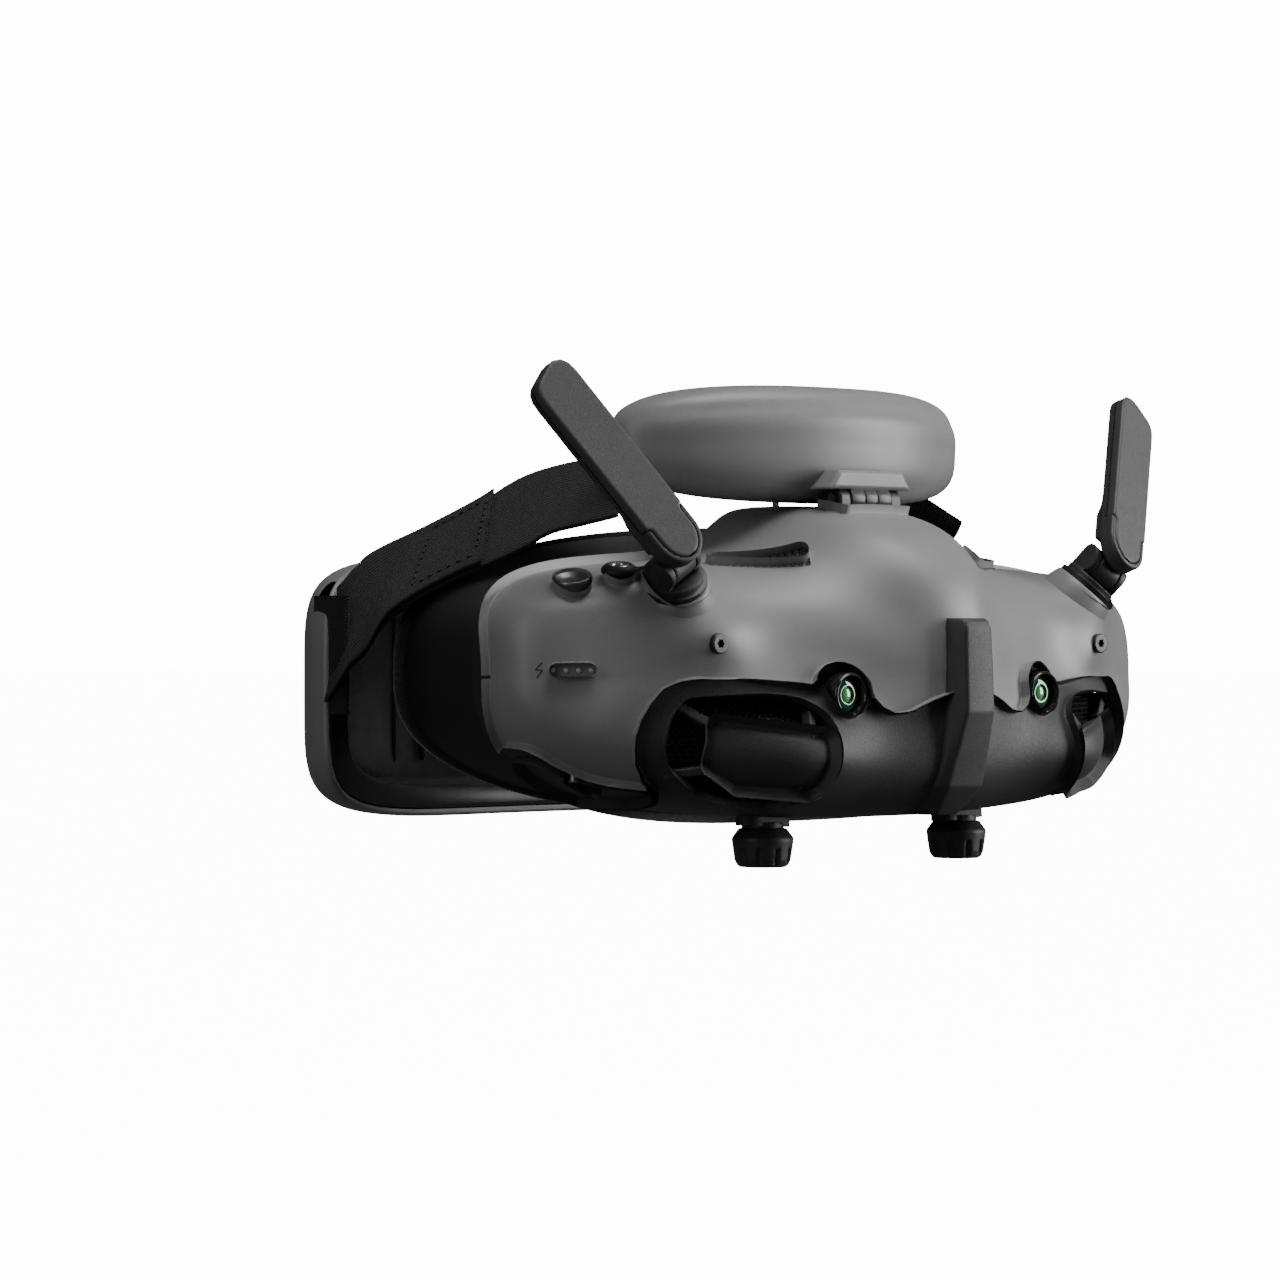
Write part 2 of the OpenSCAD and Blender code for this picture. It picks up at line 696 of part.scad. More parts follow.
// A closed ring from the frame towards the face, through the stations fs: t0 and t1 are its outer
// and inner walls, and the last station lies further back by lift
module gasket(fs, t0, t1, lift) {
    last = len(fs) - 1;
    wall_rings = [for (t = [t0, t1]) [for (k = [0 : last])
        [for (i = [0 : round_n - 1])
            let (p = shield_point(i * 360 / round_n, t, fs[k]))
            [p[0], p[1] + (k == last ? lift : 0.4), p[2]]]]];
    loop = concat(wall_rings[0], [for (k = [last : -1 : 0]) wall_rings[1][k]]);
    m = len(loop);
    n = round_n;
    polyhedron([for (r = loop) each r], [
        for (k = [0 : m - 1]) for (i = [0 : n - 1]) each [
            [k * n + i, k * n + (i + 1) % n, ((k + 1) % m) * n + i],
            [k * n + (i + 1) % n, ((k + 1) % m) * n + (i + 1) % n, ((k + 1) % m) * n + i]
        ]
    ]);
}

module pod_slots() {
    mirrored_pair() translate([90.4, 1, -3.4]) cube([6, 17, strap_w + 6], center = true);
}

module rear_pod_shell() {
    color("darkgray") as_mesh() difference() {
        dome(-11, pod_half, 31, 31, 5, 28, -24, 20, 0);
        dome(-11, pod_half - 2, 29, 29, 5, 28, -24, 18, -4);
        pod_slots();
        translate([40, 33.2, 10]) cylinder(r = 3.8, h = 20, $fn = 32);
    }
}

module rear_pod_tray() {
    color("black") as_mesh() difference() {
        dome(-11, pod_half - 2.4, 28.6, 28.6, 5, 29.5, -24, 4, 0);
        dome(-11, pod_half - 12, 20, 20, 5, 26, -18, 5, -12);
        pod_slots();
    }
}

module battery_cells() {
    color("silver") mirrored_pair() translate([33, 34.2, -12]) rotate([0, 0, -11])
        cube([46, 6.4, 38], center = true);
}

module power_button() {
    color("black") translate([40, 33.2, 10.9]) {
        translate([0, 0, 1]) cylinder(r = 3.5, h = 6.5, $fn = 48);
        cylinder(r = 3.9, h = 1.6, $fn = 48);
    }
}

front_shell();
front_cover();
centre_blade();
camera_bezel(true);  // camera_bezel_left
camera_bezel(false);  // camera_bezel_right
camera_glass(true);  // camera_glass_left
camera_glass(false);  // camera_glass_right
camera_module(true);  // camera_module_left
camera_module(false);  // camera_module_right
pod_cover(true);  // pod_cover_left
pod_cover(false);  // pod_cover_right
pod_grille(true);  // pod_grille_left
pod_grille(false);  // pod_grille_right
top_vent(true);  // top_vent_left
top_vent(false);  // top_vent_right
front_screws();
case_screws();
light_window();
port_block();
rear_frame();
light_shield();
face_foam();
slide_rails();
carriage(true);  // carriage_left
carriage(false);  // carriage_right
focus_barrel(true);  // focus_barrel_left
focus_barrel(false);  // focus_barrel_right
eye_lens(true);  // eye_lens_left
eye_lens(false);  // eye_lens_right
display(true);  // display_left
display(false);  // display_right
dial_knob(true);  // dial_knob_left
dial_knob(false);  // dial_knob_right
mainboard();
heat_sink();
fan_frame();
fan_rotor();
antenna_sockets();
antenna_collar(true);  // antenna_collar_left
antenna_collar(false);  // antenna_collar_right
antenna_pin(true);  // antenna_pin_left
antenna_pin(false);  // antenna_pin_right
antenna_blade(true);  // antenna_blade_left
antenna_blade(false);  // antenna_blade_right
stick_ring();
stick_plunger();
stick_gimbal();
stick_cap();
back_button();
hinge_bracket();
hinge_pin();
forehead_shell();
forehead_pad();
strap(true);  // strap_left
strap(false);  // strap_right
rear_pod_shell();
rear_pod_tray();
battery_cells();
power_button();
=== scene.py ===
"""FPV goggles: the visible model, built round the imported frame.

Geometry is worked out in millimetres in the frame's own axes, X across the face, +Y towards the
back of the head and +Z up, and is scaled to metres when a piece is made. "left" is the wearer's
right-hand side, at -X, as in the frame's node names.
"""

import logging
import math
from dataclasses import dataclass
from enum import Enum
from typing import Any, Callable, Iterable, Sequence

import bmesh
import bpy
import numpy as np
from mathutils import Matrix, Vector
from mathutils.bvhtree import BVHTree


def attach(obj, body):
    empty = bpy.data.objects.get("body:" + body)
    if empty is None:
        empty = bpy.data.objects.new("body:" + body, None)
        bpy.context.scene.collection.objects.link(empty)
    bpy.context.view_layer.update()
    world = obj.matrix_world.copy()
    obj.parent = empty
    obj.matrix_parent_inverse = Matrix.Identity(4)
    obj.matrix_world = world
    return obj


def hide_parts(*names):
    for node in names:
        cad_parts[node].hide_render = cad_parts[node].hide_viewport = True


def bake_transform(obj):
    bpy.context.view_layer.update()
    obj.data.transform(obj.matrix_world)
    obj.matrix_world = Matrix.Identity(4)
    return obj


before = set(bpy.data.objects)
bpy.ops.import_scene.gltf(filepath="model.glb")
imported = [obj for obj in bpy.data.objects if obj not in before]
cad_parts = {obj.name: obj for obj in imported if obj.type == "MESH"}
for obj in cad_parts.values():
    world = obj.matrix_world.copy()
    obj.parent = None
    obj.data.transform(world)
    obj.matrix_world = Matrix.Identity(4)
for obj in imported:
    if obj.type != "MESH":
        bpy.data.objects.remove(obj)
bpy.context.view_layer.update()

LOG = logging.getLogger("goggles")
MM = 0.001

Points = np.ndarray
Field = Callable[[Points], np.ndarray]
Colour = tuple[float, float, float]


# ------------------------------------------------------------------ placing

def turn(axis: str, degrees: float) -> np.ndarray:
    """A 4 x 4 turn about a main axis."""
    return np.array(Matrix.Rotation(math.radians(degrees), 4, axis))


def shift(x: float, y: float, z: float) -> np.ndarray:
    """A 4 x 4 move."""
    return np.array(Matrix.Translation((x, y, z)))


def moved(points: Points, place: np.ndarray) -> Points:
    """The points carried by a 4 x 4 place."""
    return points @ place[:3, :3].T + place[:3, 3]


def lined_up(origin: Sequence[float], along: Sequence[float], up: Sequence[float]) -> np.ndarray:
    """A place whose Z axis runs along a direction and whose X axis is square to up.

    Args:
        origin: where the place's own origin lies.
        along: the direction of its Z axis.
        up: a direction that its Y axis leans towards.

    Returns:
        The 4 x 4 place.
    """
    z = np.asarray(along, float) / np.linalg.norm(along)
    x = np.cross(np.asarray(up, float), z)
    x /= np.linalg.norm(x)
    place = np.eye(4)
    place[:3, :3] = np.stack([x, np.cross(z, x), z], axis=1)
    place[:3, 3] = origin
    return place


MIRROR = np.diag([-1.0, 1.0, 1.0, 1.0])


class Side(Enum):
    """One of the two sides of the goggles, with the sign of its X."""

    LEFT = -1
    RIGHT = 1

    @property
    def tag(self) -> str:
        """The ending of the side's node names."""
        return self.name.lower()

    @property
    def place(self) -> np.ndarray:
        """The place that carries a left-hand shape to this side."""
        return np.eye(4) if self is Side.LEFT else MIRROR


# ------------------------------------------------------------------ shapes by distance

class Solid:
    """A shape given by its signed distance in millimetres, negative inside."""

    def __init__(self, distance: Field) -> None:
        """Wraps a function from points to distances."""
        self.distance = distance

    def __call__(self, points: Points) -> np.ndarray:
        """The signed distance of each point."""
        return self.distance(points)

    def __or__(self, other: "Solid") -> "Solid":
        """Both shapes together."""
        return Solid(lambda p: np.minimum(self(p), other(p)))

    def __and__(self, other: "Solid") -> "Solid":
        """What the shapes share."""
        return Solid(lambda p: np.maximum(self(p), other(p)))

    def __sub__(self, other: "Solid") -> "Solid":
        """This shape without the other."""
        return Solid(lambda p: np.maximum(self(p), -other(p)))

    def joined(self, other: "Solid", fillet: float) -> "Solid":
        """Both shapes with a fillet where they meet."""
        return Solid(lambda p: soft_min(self(p), other(p), fillet))

    def cut(self, other: "Solid", ease: float) -> "Solid":
        """This shape without the other, with the new edges eased."""
        return Solid(lambda p: -soft_min(-self(p), other(p), ease))

    def within(self, other: "Solid", ease: float) -> "Solid":
        """What the shapes share, with the new edges eased."""
        return Solid(lambda p: -soft_min(-self(p), -other(p), ease))

    def placed(self, place: np.ndarray) -> "Solid":
        """The shape carried by a rigid place."""
        back = np.linalg.inv(place)
        return Solid(lambda p: self(moved(p, back)))

    def both_sides(self) -> "Solid":
        """The shape with its mirror image in X."""
        return Solid(lambda p: self(p * [-1, 1, 1])) | self


def soft_min(a: np.ndarray, b: np.ndarray, k: float) -> np.ndarray:
    """The smaller of two distances, blended over a width k."""
    h = np.clip(0.5 + 0.5 * (b - a) / k, 0.0, 1.0)
    return b + (a - b) * h - k * h * (1 - h)


def block(half: Sequence[float], centre: Sequence[float] = (0, 0, 0), edge: float = 0.0) -> Solid:
    """A box with rounded edges."""
    def distance(p: Points) -> np.ndarray:
        q = np.abs(p - centre) - (np.asarray(half, float) - edge)
        return np.linalg.norm(np.maximum(q, 0), axis=1) + np.minimum(q.max(1), 0) - edge
    return Solid(distance)


def rod(radius: float, low: float, high: float, edge: float = 0.0, axis: int = 2,
        centre: Sequence[float] = (0, 0, 0)) -> Solid:
    """A round rod with rounded ends.

    Args:
        radius: its radius.
        low: its start along its axis, from the centre.
        high: its end along its axis.
        edge: the radius of the edge at its ends.
        axis: 0, 1 or 2 for X, Y or Z.
        centre: a point on its axis.

    Returns:
        The rod.
    """
    others = [i for i in range(3) if i != axis]

    def distance(p: Points) -> np.ndarray:
        q = p - centre
        across = np.linalg.norm(q[:, others], axis=1) - (radius - edge)
        along = np.abs(q[:, axis] - (low + high) / 2) - ((high - low) / 2 - edge)
        both = np.stack([across, along], 1)
        return np.linalg.norm(np.maximum(both, 0), axis=1) + np.minimum(both.max(1), 0) - edge
    return Solid(distance)


def outline_distance(uv: np.ndarray, corners: np.ndarray) -> np.ndarray:
    """The signed distance of flat points to a closed outline, negative inside.

    Args:
        uv: the points, two numbers each.
        corners: the outline's corners in order, either way round.

    Returns:
        One distance per point.
    """
    best = np.full(len(uv), 1e9)
    inside = np.zeros(len(uv), bool)
    for a, b in zip(corners, np.roll(corners, -1, 0)):
        run = b - a
        t = np.clip(((uv - a) @ run) / max(run @ run, 1e-12), 0, 1)
        best = np.minimum(best, np.sum((uv - a - t[:, None] * run) ** 2, 1))
        spans = (a[1] > uv[:, 1]) != (b[1] > uv[:, 1])
        if abs(run[1]) > 1e-12:
            inside ^= spans & (uv[:, 0] < a[0] + (uv[:, 1] - a[1]) * run[0] / run[1])
    return np.sqrt(best) * np.where(inside, -1.0, 1.0)


def plate(corners: Sequence[Sequence[float]], low: float, high: float, edge: float = 0.0,
          axis: int = 1, grow: float = 0.0) -> Solid:
    """A plate with a drawn outline and rounded rims.

    Args:
        corners: the outline, in the two axes other than the plate's own, in their order.
        low: the start of its thickness along its axis.
        high: the end of its thickness.
        edge: the radius of its rims.
        axis: the axis of its thickness.
        grow: how far the outline is let out, with round corners.

    Returns:
        The plate.
    """
    ring = np.asarray(corners, float)
    others = [i for i in range(3) if i != axis]

    def distance(p: Points) -> np.ndarray:
        across = outline_distance(p[:, others], ring) - grow + edge
        along = np.abs(p[:, axis] - (low + high) / 2) - ((high - low) / 2 - edge)
        both = np.stack([across, along], 1)
        return np.linalg.norm(np.maximum(both, 0), axis=1) + np.minimum(both.max(1), 0) - edge
    return Solid(distance)


def turned(profile: Sequence[Sequence[float]], grow: float = 0.0) -> Solid:
    """A shape turned round Z from a half profile of (radius, height) points."""
    ring = np.asarray(profile, float)

    def distance(p: Points) -> np.ndarray:
        radius = np.hypot(p[:, 0], p[:, 1])
        return outline_distance(np.stack([radius, p[:, 2]], 1), ring) - grow
    return Solid(distance)


# ------------------------------------------------------------------ surfaces

class Surface:
    """Points and faces in millimetres, ready to be trimmed, given edges and made a piece."""

    def __init__(self, points: Points, faces: Iterable[Sequence[int]]) -> None:
        """Keeps the points and the faces, which may have any number of corners."""
        self.points = np.asarray(points, float)
        self.faces = [list(f) for f in faces]

    @classmethod
    def grid(cls, points: Points, wrap: bool = False) -> "Surface":
        """A surface through rows of points.

        Args:
            points: rows x columns x 3 coordinates.
            wrap: whether each row closes on itself.

        Returns:
            The surface.
        """
        rows, columns = points.shape[:2]
        index = np.arange(rows * columns).reshape(rows, columns)
        right = np.roll(index, -1, 1) if wrap else index[:, 1:]
        left = index if wrap else index[:, :-1]
        quads = np.stack([left[:-1], right[:-1], right[1:], left[1:]], -1).reshape(-1, 4)
        return cls(points.reshape(-1, 3), quads.tolist())

    def __add__(self, other: "Surface") -> "Surface":
        """Both surfaces in one."""
        start = len(self.points)
        return Surface(np.concatenate([self.points, other.points]),
                       self.faces + [[i + start for i in f] for f in other.faces])

    def at(self, place: np.ndarray) -> "Surface":
        """The surface carried by a place, with its faces turned back if the place mirrors it."""
        flip = np.linalg.det(place[:3, :3]) < 0
        return Surface(moved(self.points, place), [f[::-1] if flip else f for f in self.faces])

    def capped(self, ring: Sequence[int], tip: Sequence[float], flip: bool = False) -> "Surface":
        """The surface with one ring of points closed to a tip."""
        end = len(self.points)
        fans = [[a, b, end] for a, b in zip(ring, list(ring[1:]) + [ring[0]])]
        if flip:
            fans = [f[::-1] for f in fans]
        return Surface(np.vstack([self.points, [tip]]), self.faces + fans)

    def trimmed(self, values: np.ndarray, snap: float = 0.3) -> tuple["Surface", np.ndarray]:
        """Keeps what lies below zero and closes the cut along the zero line.

        Args:
            values: one number per point, negative where the surface stays.
            snap: how near a crossing may come to a point before the point moves onto it.

        Returns:
            The surface that stays, and which of its points lie on the cut.
        """
        points, v = self.points.copy(), values.copy()
        nearest: dict[int, tuple[float, np.ndarray]] = {}
        faces = [f for f in self.faces if min(v[i] for i in f) < 0]
        mixed = [f for f in faces if max(v[i] for i in f) > 0]
        for f in mixed:
            for a, b in zip(f, f[1:] + f[:1]):
                if v[a] * v[b] < 0:
                    t = v[a] / (v[a] - v[b])
                    spot = points[a] + (points[b] - points[a]) * t
                    for corner, share in ((a, t), (b, 1 - t)):
                        if share < snap and share < nearest.get(corner, (9.0, spot))[0]:
                            nearest[corner] = (share, spot)
        for corner, (_, spot) in nearest.items():
            points[corner], v[corner] = spot, 0.0
        extra: list[np.ndarray] = []
        made: dict[tuple[int, int], int] = {}
        kept: list[list[int]] = []
        for f in faces:
            if all(v[i] <= 0 for i in f):
                if any(v[i] < 0 for i in f):
                    kept.append(f)
                continue
            ring: list[int] = []
            for a, b in zip(f, f[1:] + f[:1]):
                if v[a] <= 0:
                    ring.append(a)
                if v[a] * v[b] < 0:
                    key = (min(a, b), max(a, b))
                    if key not in made:
                        made[key] = len(points) + len(extra)
                        extra.append(points[a] + (points[b] - points[a]) * v[a] / (v[a] - v[b]))
                    ring.append(made[key])
            if len(ring) > 2 and any(v[i] < 0 for i in ring if i < len(v)):
                kept.append(ring)
        all_points = np.vstack([points] + extra) if extra else points
        on_cut = np.concatenate([v == 0, np.ones(len(extra), bool)])
        used = np.zeros(len(all_points), bool)
        used[[i for f in kept for i in f]] = True
        new = np.cumsum(used) - 1
        return (Surface(all_points[used], [[int(new[i]) for i in f] for f in kept]),
                on_cut[used])

    def lipped(self, on_cut: np.ndarray, radius: float, depth: float, steps: int = 3) -> "Surface":
        """The surface with a rounded lip and an inward wall along every cut.

        Args:
            on_cut: which points may belong to a cut.
            radius: the radius of the lip.
            depth: how deep the wall goes below the surface.
            steps: the number of facets across the lip.

        Returns:
            The surface with its lips.
        """
        mesh = bmesh.new()
        corners = [mesh.verts.new(p) for p in self.points]
        for f in self.faces:
            if len(set(f)) > 2:
                try:
                    mesh.faces.new([corners[i] for i in f])
                except ValueError:
                    continue
        mesh.normal_update()
        mesh.verts.index_update()
        rims = [e for e in mesh.edges if len(e.link_faces) == 1
                and on_cut[e.verts[0].index] and on_cut[e.verts[1].index]]
        outward: dict[bmesh.types.BMVert, Vector] = {}
        upright: dict[bmesh.types.BMVert, Vector] = {}
        for e in rims:
            face = e.link_faces[0]
            loop = next(k for k in e.link_loops if k.face == face)
            run = loop.link_loop_next.vert.co - loop.vert.co
            side = run.cross(face.normal).normalized() * max(run.length, 1e-6)
            for vert in e.verts:
                outward[vert] = outward.get(vert, Vector()) + side
                upright[vert] = upright.get(vert, Vector()) + face.normal * face.calc_area()
        stations: list[tuple[float, float]] = []
        for k in range(1, steps + 1):
            angle = math.pi / 2 * k / steps
            stations.append((radius * math.sin(angle), radius * (1 - math.cos(angle))))
        stations.append((radius, depth))
        layers: list[dict[bmesh.types.BMVert, bmesh.types.BMVert]] = [{v: v for v in outward}]
        frames = {v: (outward[v].normalized(), upright[v].normalized(), v.co.copy())
                  for v in outward}
        for out, down in stations:
            layers.append({v: mesh.verts.new(co + t * out - n * down)
                           for v, (t, n, co) in frames.items()})
        for e in rims:
            loop = e.link_loops[0]
            a, b = loop.vert, loop.link_loop_next.vert
            for upper, lower in zip(layers, layers[1:]):
                mesh.faces.new([upper[b], upper[a], lower[a], lower[b]])
        mesh.verts.index_update()
        made = Surface(np.array([v.co for v in mesh.verts]),
                       [[v.index for v in f.verts] for f in mesh.faces])
        mesh.free()
        return made

    def piece(self, name: str, finish: "Finish", sharp: float = 40.0) -> bpy.types.Object:
        """Makes the surface an object in metres.

        Args:
            name: the piece's name.
            finish: what it is made of.
            sharp: the angle in degrees above which an edge stays crisp.

        Returns:
            The object, linked to the scene.
        """
        mesh = bpy.data.meshes.new(name)
        mesh.from_pydata((self.points * MM).tolist(), [], self.faces)
        mesh.validate()
        mesh.materials.append(finish.material())
        mesh.polygons.foreach_set("use_smooth", [True] * len(mesh.polygons))
        mesh.update()
        mesh.set_sharp_from_angle(angle=math.radians(sharp))
        piece = bpy.data.objects.new(name, mesh)
        bpy.context.scene.collection.objects.link(piece)
        return piece


CORNERS = [(i, j, k) for i in (0, 1) for j in (0, 1) for k in (0, 1)]
CELL_EDGES = [(a, b) for a in range(8) for b in range(a + 1, 8)
              if sum(abs(p - q) for p, q in zip(CORNERS[a], CORNERS[b])) == 1]


def moulded(shape: Solid, low: Sequence[float], high: Sequence[float], cell: float) -> Surface:
    """Meshes a shape by its distances, with points drawn onto its true surface.

    Args:
        shape: the shape.
        low: the lowest corner of a box that holds it.
        high: the highest corner.
        cell: the size of the mesh's cells.

    Returns:
        Its closed surface.
    """
    low, high = np.asarray(low, float) - cell * 1.5, np.asarray(high, float) + cell * 1.5
    count = np.ceil((high - low) / cell).astype(int) + 1
    axes = [low[i] + cell * np.arange(count[i]) for i in range(3)]
    lattice = np.stack(np.meshgrid(*axes, indexing="ij"), -1)
    value = shape(lattice.reshape(-1, 3)).reshape(count)
    value[value == 0] = 1e-9
    spans = tuple(count - 1)
    corner = [value[i:i + spans[0], j:j + spans[1], k:k + spans[2]] for i, j, k in CORNERS]
    filled = sum((c < 0).astype(int) for c in corner)
    active = (filled > 0) & (filled < 8)
    index = np.full(spans, -1)
    index[active] = np.arange(active.sum())
    cells = np.argwhere(active)
    at = [c[active] for c in corner]
    total, hits = np.zeros((len(cells), 3)), np.zeros(len(cells))
    for a, b in CELL_EDGES:
        cross = (at[a] < 0) != (at[b] < 0)
        t = np.where(cross, at[a] / np.where(cross, at[a] - at[b], 1), 0)
        spot = np.array(CORNERS[a]) + (np.array(CORNERS[b]) - np.array(CORNERS[a])) * t[:, None]
        total += spot * cross[:, None]
        hits += cross
    points = low + (cells + total / hits[:, None]) * cell
    for _ in range(2):
        here, slope = shape(points), np.zeros_like(points)
        for i in range(3):
            step = np.zeros(3)
            step[i] = cell * 0.15
            slope[:, i] = (shape(points + step) - shape(points - step)) / (cell * 0.3)
        pull = here / np.maximum((slope ** 2).sum(1), 0.25)
        points -= np.clip(pull, -cell * 0.4, cell * 0.4)[:, None] * slope
    quads = []
    for axis in range(3):
        one, two = [(1, 2), (2, 0), (0, 1)][axis]
        ahead = np.take(value, range(1, count[axis]), axis)
        behind = np.take(value, range(count[axis] - 1), axis)
        for flip, cross in ((False, (behind < 0) & (ahead >= 0)),
                            (True, (behind >= 0) & (ahead < 0))):
            where = np.argwhere(cross)
            where = where[(where[:, one] > 0) & (where[:, two] > 0)]
            where = where[(where[:, one] < spans[one]) & (where[:, two] < spans[two])]
            ring = []
            for da, db in ((-1, -1), (0, -1), (0, 0), (-1, 0)):
                spot = where.copy()
                spot[:, one] += da
                spot[:, two] += db
                ring.append(index[tuple(spot.T)])
            quad = np.stack(ring, 1)
            quads.append(quad[:, ::-1] if flip else quad)
    faces = np.concatenate(quads)
    return Surface(points, faces[(faces >= 0).all(1)].tolist())


def lathed(profile: Sequence[Sequence[float]], sides: int = 96) -> Surface:
    """A turned surface from a profile of (radius, height) points that starts and ends on the axis.

    Args:
        profile: the points from the lower end to the upper one.
        sides: the number of facets round it.

    Returns:
        The closed surface.
    """
    angle = np.arange(sides) * 2 * math.pi / sides
    rows = [np.stack([r * np.cos(angle), r * np.sin(angle), np.full(sides, h)], 1)
            for r, h in profile if r > 1e-6]
    body = Surface.grid(np.array(rows), wrap=True)
    last = len(body.points) - sides
    body = body.capped(list(range(sides)), (0, 0, profile[0][1]), flip=True)
    return body.capped(list(range(last, last + sides)), (0, 0, profile[-1][1]))


def eased(profile: Sequence[Sequence[float]], radius: float, steps: int = 3) -> list[np.ndarray]:
    """A profile whose inner corners are rounded with short arcs.

    Args:
        profile: its points.
        radius: how far from a corner its arc starts.
        steps: the number of facets on each arc.

    Returns:
        The new points.
    """
    points = [np.asarray(p, float) for p in profile]
    made = [points[0]]
    for before, corner, after in zip(points, points[1:], points[2:]):
        one, two = before - corner, after - corner
        reach = min(radius, np.linalg.norm(one) * 0.45, np.linalg.norm(two) * 0.45)
        start = corner + one / np.linalg.norm(one) * reach
        end = corner + two / np.linalg.norm(two) * reach
        for k in range(steps + 1):
            t = k / steps
            made.append((1 - t) ** 2 * start + 2 * t * (1 - t) * corner + t * t * end)
    return made + [points[-1]]


# ------------------------------------------------------------------ nodes

class Wire:
    """A node's output in a tree, which takes part in Python expressions."""

    def __init__(self, graph: "Graph", socket: bpy.types.NodeSocket) -> None:
        """Wraps one output socket."""
        self.graph = graph
        self.socket = socket

    def _math(self, operation: str, *values: Any) -> "Wire":
        """A Math node on these values."""
        return self.graph.node("ShaderNodeMath", {"operation": operation},
                               dict(enumerate(values)))

    def __add__(self, other: "Wire | float") -> "Wire":
        """Sum."""
        return self._math("ADD", self, other)

    __radd__ = __add__

    def __mul__(self, other: "Wire | float") -> "Wire":
        """Product."""
        return self._math("MULTIPLY", self, other)

    __rmul__ = __mul__

    def __sub__(self, other: "Wire | float") -> "Wire":
        """Difference."""
        return self._math("SUBTRACT", self, other)

    def __rsub__(self, other: float) -> "Wire":
        """Difference from a number."""
        return self._math("SUBTRACT", other, self)

    def __truediv__(self, other: "Wire | float") -> "Wire":
        """Quotient."""
        return self._math("DIVIDE", self, other)

    def __pow__(self, other: float) -> "Wire":
        """Power."""
        return self._math("POWER", self, other)

    def sine(self) -> "Wire":
        """Sine of an angle in radians."""
        return self._math("SINE", self)

    def size(self) -> "Wire":
        """Absolute value."""
        return self._math("ABSOLUTE", self)

    def part(self) -> "Wire":
        """Fraction left after the whole number."""
        return self._math("FRACT", self)

    def ramp(self, low: float, high: float, start: float = 0.0, end: float = 1.0) -> "Wire":
        """The value carried from low..high to start..end, without leaving that range."""
        return self.graph.node("ShaderNodeMapRange", {"clamp": True},
                               {0: self, 1: low, 2: high, 3: start, 4: end})


class Graph:
    """Builds one node tree, for a material or for geometry."""

    def __init__(self, tree: bpy.types.NodeTree) -> None:
        """Starts on an empty tree."""
        self.tree = tree
        tree.nodes.clear()

    def node(self, kind: str, settings: dict[str, Any] | None = None,
             inputs: dict[int | str, Any] | None = None, out: int | str = 0) -> Wire:
        """Adds a node.

        Args:
            kind: its type name.
            settings: its own settings, set first; "stops" fills a colour ramp.
            inputs: values or wires by socket name or number.
            out: which output to return.

        Returns:
            The wire of that output.
        """
        made = self.tree.nodes.new(kind)
        for key, value in (settings or {}).items():
            if key == "stops":
                ramp = made.color_ramp
                while len(ramp.elements) < len(value):
                    ramp.elements.new(0.5)
                for element, (position, colour) in zip(ramp.elements, value):
                    element.position, element.color = position, (*colour, 1.0)
            else:
                setattr(made, key, value)
        for key, value in (inputs or {}).items():
            socket = made.inputs[key]
            if isinstance(value, Wire):
                self.tree.links.new(value.socket, socket)
            else:
                socket.default_value = value
        return Wire(self, made.outputs[out] if len(made.outputs) else None)

    def object_point(self, scale: float = 1.0, stretch: Colour = (1.0, 1.0, 1.0)) -> Wire:
        """Object coordinates times a scale."""
        point = self.node("ShaderNodeTexCoord", out="Object")
        return self.node("ShaderNodeVectorMath", {"operation": "MULTIPLY"},
                         {0: point, 1: tuple(scale * s for s in stretch)})

    def noise(self, point: Wire, scale: float, detail: float = 2.0, rough: float = 0.5) -> Wire:
        """A noise value from 0 to 1 about 0.5."""
        return self.node("ShaderNodeTexNoise", {"noise_dimensions": "3D"},
                         {"Vector": point, "Scale": scale, "Detail": detail, "Roughness": rough})

    def cells(self, point: Wire, scale: float, feature: str = "F1") -> Wire:
        """The distance to the nearest of a scatter of points."""
        return self.node("ShaderNodeTexVoronoi", {"feature": feature},
                         {"Vector": point, "Scale": scale}, out="Distance")

    def mix(self, factor: Wire | float, one: Any, two: Any) -> Wire:
        """A colour between two."""
        return self.node("ShaderNodeMix", {"data_type": "RGBA"},
                         {0: factor, 6: rgba(one), 7: rgba(two)}, out=2)

    def parts(self, vector: Wire) -> tuple[Wire, Wire, Wire]:
        """The three numbers of a vector."""
        made = self.tree.nodes.new("ShaderNodeSeparateXYZ")
        self.tree.links.new(vector.socket, made.inputs[0])
        return tuple(Wire(self, made.outputs[i]) for i in range(3))

    def output(self, shader: Wire) -> None:
        """Joins a shader to the material's output."""
        self.node("ShaderNodeOutputMaterial", None, {"Surface": shader})

    def feed(self, shader: bpy.types.Node, socket: str, wire: Wire) -> None:
        """Joins a wire to one of the shader's sockets."""
        self.tree.links.new(wire.socket, shader.inputs[socket])

    def tinted(self, colour: Colour, tone: Wire) -> Wire:
        """A colour made lighter or darker by a number about 1."""
        grey = self.node("ShaderNodeCombineXYZ", None, {0: tone, 1: tone, 2: tone})
        return self.node("ShaderNodeVectorMath", {"operation": "MULTIPLY"}, {0: grey, 1: colour})

    def bump(self, height: Wire, distance: float, strength: float = 1.0,
             under: Wire | None = None) -> Wire:
        """A normal raised by a height, over another normal if one is given."""
        inputs = {"Height": height, "Distance": distance, "Strength": strength}
        if under is not None:
            inputs["Normal"] = under
        return self.node("ShaderNodeBump", None, inputs)


def rgba(value: Any) -> Any:
    """A colour with its alpha, or the wire unchanged."""
    return value if isinstance(value, Wire) else (*value, 1.0)


# ------------------------------------------------------------------ finishes

